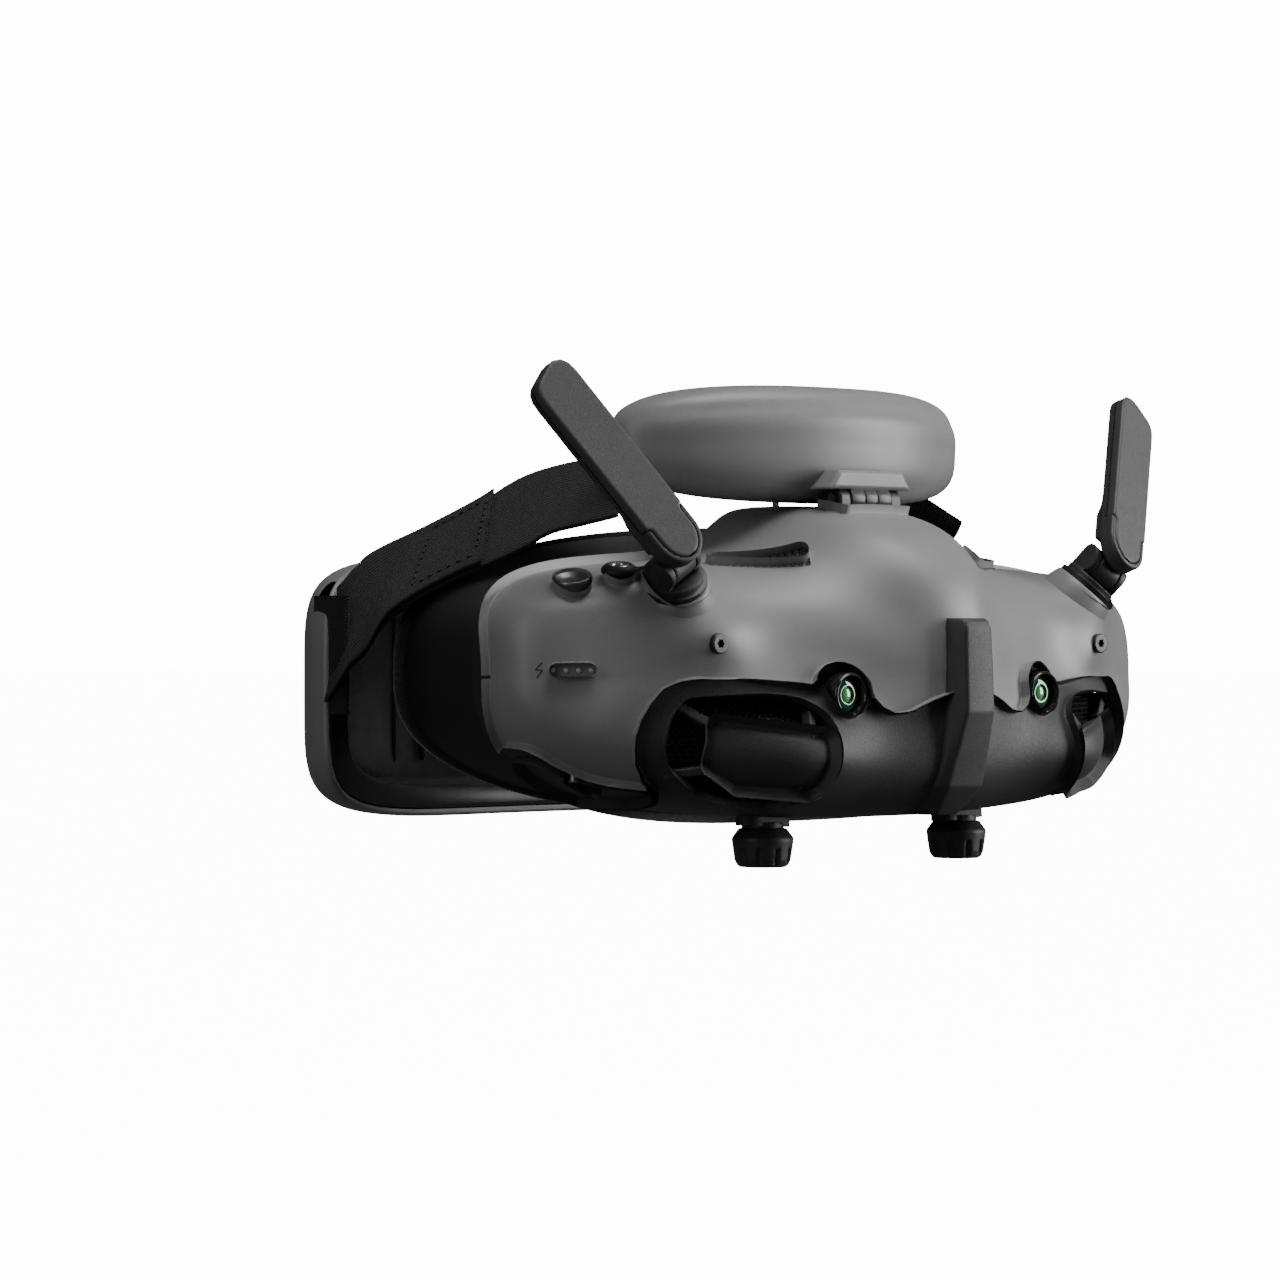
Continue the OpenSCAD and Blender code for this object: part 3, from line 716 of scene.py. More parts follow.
@dataclass(frozen=True)
class Finish:
    """What a piece is made of. The base finish is a plain moulded plastic with a fine grain.

    Sizes are in millimetres.
    """

    name: str
    colour: Colour
    roughness: float = 0.45
    grain: float = 0.35
    grain_height: float = 0.012
    mottling: float = 0.06
    polish: float = 0.5
    worn: float = 0.0

    def material(self) -> bpy.types.Material:
        """The finish's material, made once and then shared."""
        found = bpy.data.materials.get(self.name)
        if found:
            return found
        made = bpy.data.materials.new(self.name)
        made.use_nodes = True
        graph = Graph(made.node_tree)
        shader = graph.node("ShaderNodeBsdfPrincipled", None, {
            "Roughness": self.roughness, "Specular IOR Level": self.polish,
            "Base Color": (*self.colour, 1.0)})
        self.dress(graph, shader.socket.node)
        graph.output(shader)
        return made

    def dress(self, graph: Graph, shader: bpy.types.Node) -> None:
        """Adds colour variation, grain and roughness to the shader."""
        point = graph.object_point(1000)
        broad = graph.noise(point, 0.05, 3)
        fine = graph.noise(point, 1 / self.grain, 3, 0.6)
        tone = broad.ramp(0.35, 0.65, 1 - self.mottling, 1 + self.mottling) \
            * fine.ramp(0.3, 0.7, 1 - self.mottling, 1 + self.mottling)
        graph.feed(shader, "Base Color", graph.tinted(self.colour, tone))
        graph.feed(shader, "Roughness", broad.ramp(0.3, 0.7, self.roughness - 0.04,
                                                   self.roughness + 0.04))
        pits = graph.cells(point, 1 / self.grain)
        graph.feed(shader, "Normal", graph.bump(pits + fine * 0.6, self.grain_height * MM))


@dataclass(frozen=True)
class Speckled(Finish):
    """Dark glass-filled plastic with fine pale flecks and a coarse spark-eroded texture."""

    fleck: float = 0.22
    fleck_colour: Colour = (0.2, 0.2, 0.2)
    fleck_share: float = 0.5

    def dress(self, graph: Graph, shader: bpy.types.Node) -> None:
        """Adds flecks, pits and a slightly uneven sheen."""
        point = graph.object_point(1000)
        broad = graph.noise(point, 0.04, 3)
        fine = graph.noise(point, 1 / self.fleck, 2, 0.7)
        flecks = fine.ramp(0.56, 0.72, 0.0, self.fleck_share)
        tone = broad.ramp(0.3, 0.7, 0.92, 1.08)
        graph.feed(shader, "Base Color",
                   graph.mix(flecks, graph.tinted(self.colour, tone), self.fleck_colour))
        graph.feed(shader, "Roughness", fine.ramp(0.3, 0.7, self.roughness + 0.06,
                                                  self.roughness - 0.06))
        pits = graph.cells(point, 1 / (self.fleck * 1.6))
        graph.feed(shader, "Normal", graph.bump(pits + fine, self.grain_height * MM))


@dataclass(frozen=True)
class Weave(Finish):
    """Woven webbing: ribs and threads follow the piece's own UV map, in millimetres."""

    rib: float = 1.0
    thread: float = 0.42
    rib_height: float = 0.22
    twill: bool = False

    def dress(self, graph: Graph, shader: bpy.types.Node) -> None:
        """Adds ribs, threads, fuzz and painted shade, darker in the grooves between ribs and
        threads so each rib's crown stays lighter.
        """
        along, across, _ = graph.parts(graph.node("ShaderNodeTexCoord", out="UV"))
        ribs = ((across + along) if self.twill else across) / self.rib
        crown = (ribs * math.pi).sine().size() ** 0.6
        slant = (along / self.thread + ribs * 0.5).part()
        threads = (slant * math.pi).sine() ** 0.7
        fuzz = graph.noise(graph.object_point(1000), 3.5, 4, 0.7)
        # Painted shade: the colour darkens in the grooves between ribs and threads; the fuzz varies
        # the tone at random.
        tone = crown.ramp(0.2, 1.0, 0.35, 1.0) * threads.ramp(0.0, 1.0, 0.6, 1.15) \
            * fuzz.ramp(0.3, 0.7, 0.8, 1.25)
        graph.feed(shader, "Base Color", graph.tinted(self.colour, tone))
        height = crown * self.rib_height + threads * 0.09 + fuzz * 0.05
        graph.feed(shader, "Normal", graph.bump(height, MM))
        shader.inputs["Sheen Weight"].default_value = 0.08
        shader.inputs["Sheen Roughness"].default_value = 0.45


@dataclass(frozen=True)
class Knit(Finish):
    """The fine knitted face of a foam pad."""

    loop: float = 0.7

    def dress(self, graph: Graph, shader: bpy.types.Node) -> None:
        """Adds loops, fuzz, sheen and painted shade in the gaps between the loops."""
        point = graph.object_point(1000)
        loops = graph.cells(point, 1 / self.loop)
        fuzz = graph.noise(point, 2.4, 4, 0.65)
        broad = graph.noise(point, 0.06, 2)
        # Painted shade: the colour darkens from each loop's middle towards the gaps between loops;
        # the fuzz and the broad noise vary it at random.
        tone = loops.ramp(0.1, 0.8, 1.15, 0.6) * fuzz.ramp(0.3, 0.7, 0.8, 1.2) \
            * broad.ramp(0.3, 0.7, 0.9, 1.1)
        graph.feed(shader, "Base Color", graph.tinted(self.colour, tone))
        graph.feed(shader, "Normal", graph.bump(fuzz * 0.5 - loops, 0.16 * MM))
        shader.inputs["Sheen Weight"].default_value = 0.35
        shader.inputs["Sheen Roughness"].default_value = 0.5


@dataclass(frozen=True)
class Metal(Finish):
    """Machined or ground metal with fine tool marks."""

    marks: float = 0.12
    direction: Colour = (1.0, 1.0, 8.0)

    def dress(self, graph: Graph, shader: bpy.types.Node) -> None:
        """Adds tool marks and smudges."""
        point = graph.object_point(1000, self.direction)
        lines = graph.noise(point, 1 / self.marks, 2, 0.5)
        smudge = graph.noise(graph.object_point(1000), 0.35, 3)
        graph.feed(shader, "Base Color", graph.tinted(
            self.colour, smudge.ramp(0.3, 0.7, 0.92, 1.05)))
        graph.feed(shader, "Roughness", (lines * 0.5 + smudge * 0.5).ramp(
            0.35, 0.65, self.roughness - 0.08, self.roughness + 0.1))
        graph.feed(shader, "Normal", graph.bump(lines, self.grain_height * MM))
        shader.inputs["Metallic"].default_value = 1.0


@dataclass(frozen=True)
class Optic(Finish):
    """Coated glass: a dark clear body whose coating tints its highlights."""

    coating: Colour = (0.1, 0.6, 0.2)
    depth: float = 0.0

    def dress(self, graph: Graph, shader: bpy.types.Node) -> None:
        """Adds a coat, a faint dust and a painted reflection: a tinted rim where the surface is
        seen edge-on.
        """
        dust = graph.noise(graph.object_point(1000), 1.8, 3, 0.7)
        # Painted reflection: the base colour turns to the coating's tint where the glass is seen
        # edge-on.
        edge = graph.node("ShaderNodeLayerWeight", None, {"Blend": 0.35}, out="Facing")
        graph.feed(shader, "Base Color", graph.mix(edge.ramp(0.0, 1.0, 0.0, 0.8),
                                                   self.colour, self.coating))
        graph.feed(shader, "Roughness", dust.ramp(0.5, 0.8, self.roughness,
                                                  self.roughness + 0.05))
        shader.inputs["Coat Weight"].default_value = 1.0
        shader.inputs["Coat Roughness"].default_value = 0.02
        shader.inputs["Specular Tint"].default_value = (*self.coating, 1.0)
        shader.inputs["Specular IOR Level"].default_value = 1.0


@dataclass(frozen=True)
class Glow(Finish):
    """A surface with light of its own: a faint painted glow on the unlit frosted light window, and
    an even brightness on the floor.
    """

    power: float = 0.6

    def dress(self, graph: Graph, shader: bpy.types.Node) -> None:
        """Adds an uneven glow, which on the light window is a painted glow."""
        haze = graph.noise(graph.object_point(1000), 1.2, 2)
        graph.feed(shader, "Emission Color", graph.tinted(self.colour,
                                                          haze.ramp(0.3, 0.7, 0.8, 1.1)))
        shader.inputs["Emission Strength"].default_value = self.power


@dataclass(frozen=True)
class Board(Finish):
    """A circuit board with copper tracks under its green mask."""

    track: float = 1.1

    def dress(self, graph: Graph, shader: bpy.types.Node) -> None:
        """Adds straight tracks in two directions and small pads."""
        x, _, z = graph.parts(graph.object_point(1000))
        wander = graph.noise(graph.object_point(1000), 0.25, 1)
        one = ((x / self.track + wander.ramp(0.4, 0.6, 0.0, 3.0)).part() - 0.5).size()
        two = ((z / self.track + wander.ramp(0.4, 0.6, 3.0, 0.0)).part() - 0.5).size()
        tracks = (one.ramp(0.28, 0.34) * wander.ramp(0.5, 0.52)
                  + two.ramp(0.28, 0.34) * wander.ramp(0.52, 0.5)).ramp(0.0, 1.0)
        graph.feed(shader, "Base Color", graph.mix(tracks, self.colour, (0.04, 0.2, 0.1)))
        graph.feed(shader, "Normal", graph.bump(tracks, 0.03 * MM))


SHELL_GREY = Finish("satin_light_grey", (0.235, 0.235, 0.24), 0.42, 0.3, 0.006, 0.025, 0.5)
SHELL_DARK = Finish("satin_black_inside", (0.012, 0.012, 0.0125), 0.5, 0.4, 0.01, 0.05, 0.4)
TEXTURED = Speckled("textured_dark_grey", (0.033, 0.033, 0.034), 0.56, 0.3, 0.022, 0.05, 0.5,
                    fleck=0.2, fleck_colour=(0.1, 0.1, 0.1), fleck_share=0.35)
ANTENNA_GREY = Speckled("textured_antenna_grey", (0.05, 0.05, 0.051), 0.5, 0.3, 0.022, 0.05, 0.5,
                        fleck=0.24, fleck_colour=(0.17, 0.17, 0.17), fleck_share=0.5)
KNOB_BLACK = Speckled("knob_black", (0.03, 0.03, 0.031), 0.48, 0.3, 0.02, 0.05, 0.5,
                      fleck=0.2, fleck_colour=(0.1, 0.1, 0.1), fleck_share=0.3)
SOCKET_BLACK = Finish("collar_black", (0.014, 0.014, 0.0145), 0.42, 0.3, 0.012, 0.05, 0.5)
GLOSS_BLACK = Finish("gloss_black", (0.01, 0.01, 0.0105), 0.12, 2.0, 0.002, 0.02, 0.5)
TRAY_BLACK = Finish("tray_black", (0.014, 0.014, 0.0145), 0.36, 0.4, 0.008, 0.04, 0.5)
POD_GREY = Finish("pod_light_grey", (0.2, 0.2, 0.204), 0.42, 0.3, 0.006, 0.03, 0.5)
RUBBER = Finish("shield_rubber", (0.011, 0.011, 0.0112), 0.58, 0.5, 0.014, 0.06, 0.35)
FOAM = Knit("foam_knit", (0.018, 0.018, 0.0185), 0.9, polish=0.2)
WEBBING = Weave("ribbed_webbing", (0.014, 0.014, 0.0145), 0.72, polish=0.3)
WEBBING_LONG = Weave("ribbed_webbing_lengthwise", (0.013, 0.013, 0.0135), 0.72, polish=0.3)
WEBBING_TWILL = Weave("twill_webbing", (0.01, 0.01, 0.0103), 0.74, polish=0.3, rib=0.7,
                      rib_height=0.1, twill=True)
THREAD = Finish("sewing_thread", (0.03, 0.03, 0.03), 0.7, 0.12, 0.03, 0.1, 0.3)
STEEL = Metal("dark_steel", (0.28, 0.28, 0.285), 0.32, grain_height=0.004)
HINGE_GREY = Finish("hinge_grey", (0.05, 0.05, 0.051), 0.4, 0.3, 0.006, 0.03, 0.5)
FRAME_BLACK = Finish("frame_black", (0.02, 0.02, 0.0205), 0.5, 0.4, 0.01, 0.05, 0.4)
COLLAR_GREY = Speckled("textured_collar_grey", (0.02, 0.02, 0.0205), 0.55, 0.3, 0.02, 0.05, 0.5,
                       fleck=0.22, fleck_colour=(0.07, 0.07, 0.07), fleck_share=0.35)
BLACKENED = Metal("blackened_steel", (0.075, 0.075, 0.077), 0.46, grain_height=0.004)
BUTTON_GREY = Metal("button_grey", (0.2, 0.2, 0.205), 0.36, grain_height=0.003)
ANTENNA_BACK = Speckled("textured_housing_grey", (0.036, 0.036, 0.037), 0.5, 0.3, 0.022, 0.05, 0.5,
                        fleck=0.24, fleck_colour=(0.12, 0.12, 0.12), fleck_share=0.4)
BRIGHT_STEEL = Metal("bright_steel", (0.6, 0.6, 0.61), 0.24, grain_height=0.003)
ALUMINIUM = Metal("fine_aluminium", (0.55, 0.55, 0.56), 0.36, grain_height=0.004)
CAMERA_GLASS = Optic("camera_coated_glass", (0.004, 0.012, 0.006), 0.04, coating=(0.06, 0.3, 0.1))
# Painted reflection: the inner lens has a bright green body colour that stands in for the green
# glint of its coating.
CAMERA_EYE = Optic("camera_inner_glass", (0.1, 0.42, 0.12), 0.06, coating=(0.35, 0.95, 0.4))
EYE_GLASS = Optic("eyepiece_glass", (0.02, 0.024, 0.035), 0.03, coating=(0.25, 0.2, 0.6))
SCREEN = Optic("display_glass", (0.006, 0.006, 0.008), 0.08, coating=(0.1, 0.1, 0.16))
# Painted glow: the unlit status-light lenses give out a faint light of their own.
PAINTED_GLOW_PIPE = Glow("frosted_light_pipe", (0.5, 0.5, 0.5), 0.2, power=0.05)
ICON_INK = Finish("icon_ink", (0.03, 0.03, 0.03), 0.5, 0.2, 0.004, 0.03, 0.4)
CIRCUIT = Board("circuit_board", (0.012, 0.1, 0.05), 0.3)
CELL_WRAP = Finish("cell_wrap", (0.03, 0.05, 0.09), 0.3, 1.0, 0.006, 0.03, 0.5)


# ------------------------------------------------------------------ repeated parts

def tree_sockets(tree: bpy.types.NodeTree, inputs: dict[str, str]) -> None:
    """Gives a geometry tree its named inputs and its output."""
    tree.interface.new_socket("Geometry", in_out="OUTPUT", socket_type="NodeSocketGeometry")
    for name, kind in inputs.items():
        tree.interface.new_socket(name, in_out="INPUT", socket_type=f"NodeSocket{kind}")


class Repeater:
    """Sets one part at many marked points with Geometry Nodes, and bakes the result."""

    TREE = "repeat_part_at_points"
    INPUTS = {"Geometry": "Geometry", "Part": "Object", "Size": "Float", "Size spread": "Float",
              "Seed": "Int", "Finish": "Material"}

    def __init__(self, seed: int = 7) -> None:
        """Builds the tree once."""
        self.seed = seed
        self.tree = bpy.data.node_groups.get(self.TREE) or self._build()

    def _build(self) -> bpy.types.NodeTree:
        """The tree: place the part on each point, turn it by the point's own axes, realise it."""
        tree = bpy.data.node_groups.new(self.TREE, "GeometryNodeTree")
        tree_sockets(tree, self.INPUTS)
        graph = Graph(tree)
        source = tree.nodes.new("NodeGroupInput")
        given = {s.name: Wire(graph, s) for s in source.outputs if s.name}
        upright = graph.node("GeometryNodeInputNamedAttribute", {"data_type": "FLOAT_VECTOR"},
                             {"Name": "upright"})
        forward = graph.node("GeometryNodeInputNamedAttribute", {"data_type": "FLOAT_VECTOR"},
                             {"Name": "forward"})
        first = graph.node("FunctionNodeAlignRotationToVector", {"axis": "Z"},
                           {"Vector": upright})
        both = graph.node("FunctionNodeAlignRotationToVector",
                          {"axis": "X", "pivot_axis": "Z"},
                          {"Rotation": first, "Vector": forward})
        spread = graph.node("FunctionNodeRandomValue", {"data_type": "FLOAT"},
                            {2: -1.0, 3: 1.0, "Seed": given["Seed"]}, out=1)
        size = given["Size"] * (1.0 + spread * given["Size spread"])
        part = graph.node("GeometryNodeObjectInfo", {"transform_space": "ORIGINAL"},
                          {"Object": given["Part"]}, out="Geometry")
        placed = graph.node("GeometryNodeInstanceOnPoints", None, {
            "Points": given["Geometry"], "Instance": part, "Rotation": both, "Scale": size},
            out="Instances")
        real = graph.node("GeometryNodeRealizeInstances", None, {0: placed})
        dressed = graph.node("GeometryNodeSetMaterial", None,
                             {"Geometry": real, "Material": given["Finish"]})
        graph.node("NodeGroupOutput", None, {0: dressed})
        return tree

    def piece(self, name: str, part: Surface, finish: Finish, points: Points, upright: Points,
              forward: Points, size: float = 1.0, spread: float = 0.0,
              sharp: float = 40.0) -> bpy.types.Object:
        """Repeats a part and makes one plain piece of it.

        Args:
            name: the piece's name.
            part: the part, in millimetres about its own origin.
            finish: what it is made of.
            points: where each copy goes, in millimetres.
            upright: the direction of each copy's Z axis.
            forward: the direction that each copy's X axis leans towards.
            size: the size of the copies.
            spread: how much the size differs, as a share.
            sharp: the angle above which an edge stays crisp.

        Returns:
            The piece.
        """
        template = part.piece(f"{name}_part", finish, sharp)
        marks = bpy.data.meshes.new(name)
        marks.from_pydata((np.asarray(points) * MM).tolist(), [], [])
        for key, values in (("upright", upright), ("forward", forward)):
            layer = marks.attributes.new(key, "FLOAT_VECTOR", "POINT")
            layer.data.foreach_set("vector", np.asarray(values, np.float32).ravel())
        holder = bpy.data.objects.new(f"{name}_points", marks)
        bpy.context.scene.collection.objects.link(holder)
        modifier = holder.modifiers.new("repeat", "NODES")
        modifier.node_group = self.tree
        values = {"Part": template, "Size": size, "Size spread": spread, "Seed": self.seed,
                  "Finish": finish.material()}
        made = bake(holder, modifier, values, name)
        bpy.data.objects.remove(template)
        made.data.set_sharp_from_angle(angle=math.radians(sharp))
        return made


def bake(holder: bpy.types.Object, modifier: bpy.types.Modifier, values: dict[str, Any],
         name: str) -> bpy.types.Object:
    """Sets a geometry tree's inputs and turns its result into a plain piece.

    Args:
        holder: the object that carries the modifier; it is removed.
        modifier: the modifier with the tree.
        values: the tree's inputs by name.
        name: the name of the piece.

    Returns:
        The piece.
    """
    for item in modifier.node_group.interface.items_tree:
        if item.in_out == "INPUT" and item.name in values:
            modifier[item.identifier] = values[item.name]
    holder.update_tag()
    bpy.context.view_layer.update()
    graph = bpy.context.evaluated_depsgraph_get()
    mesh = bpy.data.meshes.new_from_object(holder.evaluated_get(graph))
    holder.modifiers.remove(modifier)
    bpy.data.objects.remove(holder)
    mesh.name = name
    mesh.polygons.foreach_set("use_smooth", [True] * len(mesh.polygons))
    made = bpy.data.objects.new(name, mesh)
    bpy.context.scene.collection.objects.link(made)
    return made


# ------------------------------------------------------------------ visor

def bell(x: np.ndarray, z: np.ndarray, cx: float, cz: float, wx: float, wz: float) -> np.ndarray:
    """A smooth bump of height 1 at (cx, cz)."""
    return np.exp(-((x - cx) / wx) ** 2 - ((z - cz) / wz) ** 2)


def rounded_outline(angle: np.ndarray, half: float, up: float, down: float, n_up: float,
                    n_down: float) -> tuple[np.ndarray, np.ndarray]:
    """A closed outline with its own roundness above and below its middle."""
    c, s = np.cos(angle), np.sin(angle)
    n = np.where(s >= 0, n_up, n_down)
    k = (np.abs(c) ** n + np.abs(s) ** n) ** (-1 / n)
    return half * c * k, np.where(s >= 0, up, down) * s * k


@dataclass
class VisorForm:
    """The form of the visor's outer skin, by the same rule as the frame's."""

    half: float = 100.5
    brow: float = 25.5
    chin: float = 32.5
    hump: float = 13.5
    eye_z: float = -8.0
    screw_x: float = 62.8
    wall: float = 2.2

    def rim(self, angle: np.ndarray, inset: float = 0.0) -> tuple[np.ndarray, np.ndarray]:
        """The widest outline, drawn in by an inset, measured from the eye line."""
        x, z = rounded_outline(angle, self.half - inset, self.brow - inset, self.chin - inset,
                               4.5, 2.6)
        lift = self.hump / (1 + (np.abs(x) / 27) ** 5)
        return x, z + np.where(np.sin(angle) > 0, lift * np.sqrt(np.abs(np.sin(angle))), 0.0)

    def face(self, x: np.ndarray, z: np.ndarray) -> np.ndarray:
        """The Y of the face before it turns back to the rim."""
        ax = np.abs(x)
        return -(94 + 13 * np.exp(-(x / 30) ** 2) - 0.0011 * x * x
                 + 13 * bell(ax, z, 46, -27, 20, 14) + 6.4 * bell(ax, z, 69, 15.5, 11, 10)
                 + 4.4 * bell(ax, z, self.screw_x, -0.8, 12, 9))

    def rim_y(self, angle: np.ndarray) -> np.ndarray:
        """The Y of the rim."""
        return -50 - 12 * np.abs(np.cos(angle)) ** 1.5

    def skin(self, angle: np.ndarray, g: np.ndarray, inset: float = 0.0) -> Points:
        """Points of the skin; g runs from 0 in the middle to 1 at the rim."""
        rx, rz = self.rim(angle, inset)
        x, z, y0 = rx * g, self.eye_z + rz * g, self.rim_y(angle)
        n = 2.9 + 2.4 * np.maximum(0, -np.sin(angle)) ** 1.5
        w = np.maximum(0, 1 - g ** n) ** (1 / n)
        return np.stack([x, y0 - (y0 - self.face(x, z) - inset) * w, z], -1)

    def surface(self, inset: float = 0.0, around: int = 540, rows: int = 104,
                back: float = -60.0) -> Surface:
        """The skin as a fine grid, with its short straight wall at the back.

        Args:
            inset: how far it lies under the outer skin.
            around: the number of columns round it.
            rows: the number of rows from the middle to the rim.
            back: the Y that the side walls reach.

        Returns:
            The surface, closed in the middle and open at the back.
        """
        angle = np.arange(around) * 2 * math.pi / around
        share = np.sin(np.arange(1, rows + 1) * math.pi / 2 / rows) ** 0.75
        grid = [self.skin(angle, np.full(around, g), inset) for g in share]
        rx, rz = self.rim(angle, inset)
        end = np.maximum(back, self.rim_y(angle) + 3)
        for t in (0.3, 0.65, 1.0):
            scale = 1 - 0.005 * t
            y0 = self.rim_y(angle)
            grid.append(np.stack([rx * scale, y0 + (end - y0) * t,
                                  self.eye_z + rz * scale], -1))
        body = Surface.grid(np.array(grid), wrap=True)
        middle = self.skin(np.zeros(1), np.zeros(1), inset)[0]
        return body.capped(list(range(around)), middle, flip=True)

    def depth(self, x: Sequence[float], z: Sequence[float], inset: float = 0.0) -> np.ndarray:
        """The Y of the skin at places seen from the front."""
        x, z = np.asarray(x, float), np.asarray(z, float)
        low, high = np.zeros(len(x)), np.ones(len(x))
        angle = np.arctan2((z - self.eye_z) / np.where(z > self.eye_z, self.brow, self.chin),
                           x / self.half)
        for _ in range(12):
            rx, rz = self.rim(angle, inset)
            reach = np.hypot(x, z - self.eye_z) / np.maximum(np.hypot(rx, rz), 1e-6)
            angle = angle + (np.arctan2(z - self.eye_z, x) - np.arctan2(rz, rx)) * 0.8
        g = np.clip(reach, low, np.minimum(high, 0.999))
        return self.skin(angle, g, inset)[:, 1]

    def normal(self, x: Sequence[float], z: Sequence[float]) -> Points:
        """The outward normals of the skin at places seen from the front."""
        x, z, e = np.asarray(x, float), np.asarray(z, float), 0.4
        dx = (self.depth(x + e, z) - self.depth(x - e, z)) / (2 * e)
        dz = (self.depth(x, z + e) - self.depth(x, z - e)) / (2 * e)
        n = np.stack([dx, -np.ones_like(dx), dz], 1)
        return n / np.linalg.norm(n, axis=1, keepdims=True)


FORM = VisorForm()


def arc(cx: float, cz: float, r: float, start: float, end: float, step: float) -> list[list[float]]:
    """Points on an arc, in degrees."""
    return [[cx + r * math.cos(math.radians(a)), cz + r * math.sin(math.radians(a))]
            for a in np.arange(start, end + step / 2, step)]


def smoothed(corners: Sequence[Sequence[float]], rounds: int = 2) -> np.ndarray:
    """A closed outline with its corners cut again and again."""
    ring = np.asarray(corners, float)
    for _ in range(rounds):
        after = np.roll(ring, -1, 0)
        ring = np.stack([ring * 0.8 + after * 0.2, ring * 0.2 + after * 0.8], 1).reshape(-1, 2)
    return ring


@dataclass
class VisorShells:
    """The light upper shell, the dark lower cover, the ridge and the two cheek pods."""

    eye_x: float = 32.0
    cam_z: float = -12.1
    arch: float = 6.9
    gap: float = 0.14
    lip: float = 0.25
    grille_cell: float = 1.3
    rear: float = -60.0
    ant_at: tuple[float, float, float] = (-71.3, -86.4, 18.0)
    stick_at: tuple[float, float, float] = (-76.4, -74.6, 11.8)
    button_at: tuple[float, float, float] = (-86.2, -70.3, 10.2)
    light_at: tuple[float, float, float] = (-91.8, -76.3, -6.5)

    def seam(self) -> np.ndarray:
        """The half outline of the dark lower cover, seen from the front, for X above 0."""
        return np.array([
            [-3, -8.2], [0, -9.4], [4, -11.3], [10.3, -13.4], [16.1, -16.1], [20.5, -16.6],
            [23.6, -15.2], [25.2, -13.2],
            *arc(self.eye_x, self.cam_z, self.arch, 20, 160, 10)[::-1],
            [39.6, -11.0], [42.2, -10.6], [49, -9.9], [58, -8.5], [66.6, -8.1], [70, -8.9],
            [73.5, -10.8], [76.4, -14.1], [78.4, -17.3], [79.4, -20.5], [79.3, -23],
            [78.4, -26], [75.5, -29.4], [71, -32.2], [68.2, -34.6], [67.4, -38], [68, -60],
            [-3, -60]])

    def cover_distance(self, p: Points) -> np.ndarray:
        """The distance of points to the cover's outline, seen from the front."""
        seam = np.concatenate([self.seam()[1:-1], [[0, -60]]])
        both = np.concatenate([seam, seam[::-1] * [-1, 1]])
        return outline_distance(p[:, [0, 2]], both)

    def pod_outline(self) -> np.ndarray:
        """The hollow of one cheek pod, seen from the front."""
        return smoothed([[39, -18], [44, -14], [52, -12.6], [65.2, -12.4], [69.4, -13],
                         [72.5, -17.3], [73.6, -22.8], [71.6, -27.8], [63.4, -32.7],
                         [54.4, -35], [46.2, -35], [40, -32]])

    def cheek_outline(self, grow: float = 1.5) -> Solid:
        """The cover plate of one pod as an endless prism along Y."""
        return plate([[42.5, -22.4], [63.7, -19], [64.6, -26.4], [58, -30.6], [43, -31.9]],
                     -200, 0, 0.0, 1, grow)

    def collar_place(self) -> np.ndarray:
        """The place of the left antenna's collar."""
        return shift(*self.ant_at) @ turn("Y", -31.8) @ turn("X", 27.6)

    def stick_place(self) -> np.ndarray:
        """The place of the control stick."""
        return shift(*self.stick_at) @ turn("Y", -9) @ turn("X", 11)

    def button_place(self) -> np.ndarray:
        """The place of the back button."""
        return shift(*self.button_at) @ turn("Y", -15) @ turn("X", 13)

    def light_place(self) -> np.ndarray:
        """The place of the status lights, with Z out of the skin and X along the row."""
        return shift(*self.light_at) @ turn("Z", -37) @ turn("X", 90)

    def vent_place(self) -> np.ndarray:
        """The place of the left top vent, with X along it."""
        return shift(-36, -77, 10) @ turn("Z", -31)

    def foot_panel(self) -> Solid:
        """The dark strip under each flank of the light shell, seen from the front."""
        ring = [[99, -20.5], [96.5, -21.9], [94.5, -23.4], [91.4, -25.6], [87.9, -27.5],
                [84.8, -28.9], [81.5, -29.9], [78.2, -30.6], [74.3, -31.2], [71.6, -31.9],
                [68.4, -34.4], [67.4, -38.0], [68, -60], [115, -60], [115, -20]]
        return plate(smoothed(ring), -200, 0, axis=1).both_sides()

    def openings(self) -> Solid:
        """Everything that is cut out of the light shell besides the cover's region."""
        vent = plate(arc(9.8, 0, 2.1, -90, 90, 15) + arc(-9.8, 0, 2.1, 90, 270, 15),
                     0, 30, axis=2).placed(self.vent_place())
        collar = rod(7.0, -18, 30).placed(self.collar_place())
        both = (vent | collar).both_sides()
        lights = plate(arc(3.55, 0, 1.45, -90, 90, 15) + arc(-3.55, 0, 1.45, 90, 270, 15),
                       -8, 12, axis=2).placed(self.light_place())
        return (both | lights | rod(3.7, -8, 12).placed(self.stick_place())
                | rod(4.25, -8, 12).placed(self.button_place())
                | block((10.6, 4.6, 6), (0, -75, 28)))

    def shell(self) -> bpy.types.Object:
        """The light grey upper shell with rolled lips at every opening."""
        body = FORM.surface(back=self.rear)
        p = body.points
        hole = (self.openings() | self.foot_panel())(p)
        value = np.maximum(-hole, -(self.cover_distance(p) - self.gap)) + self.lip
        value[p[:, 1] > -45] = np.maximum(value[p[:, 1] > -45], -1)
        trimmed, on_cut = body.trimmed(value)
        on_cut |= trimmed.points[:, 1] >= np.maximum(
            self.rear, self._rim_y_at(trimmed.points) + 3) - 0.02
        return trimmed.lipped(on_cut, self.lip, FORM.wall).piece("upper_shell", SHELL_GREY, 60)

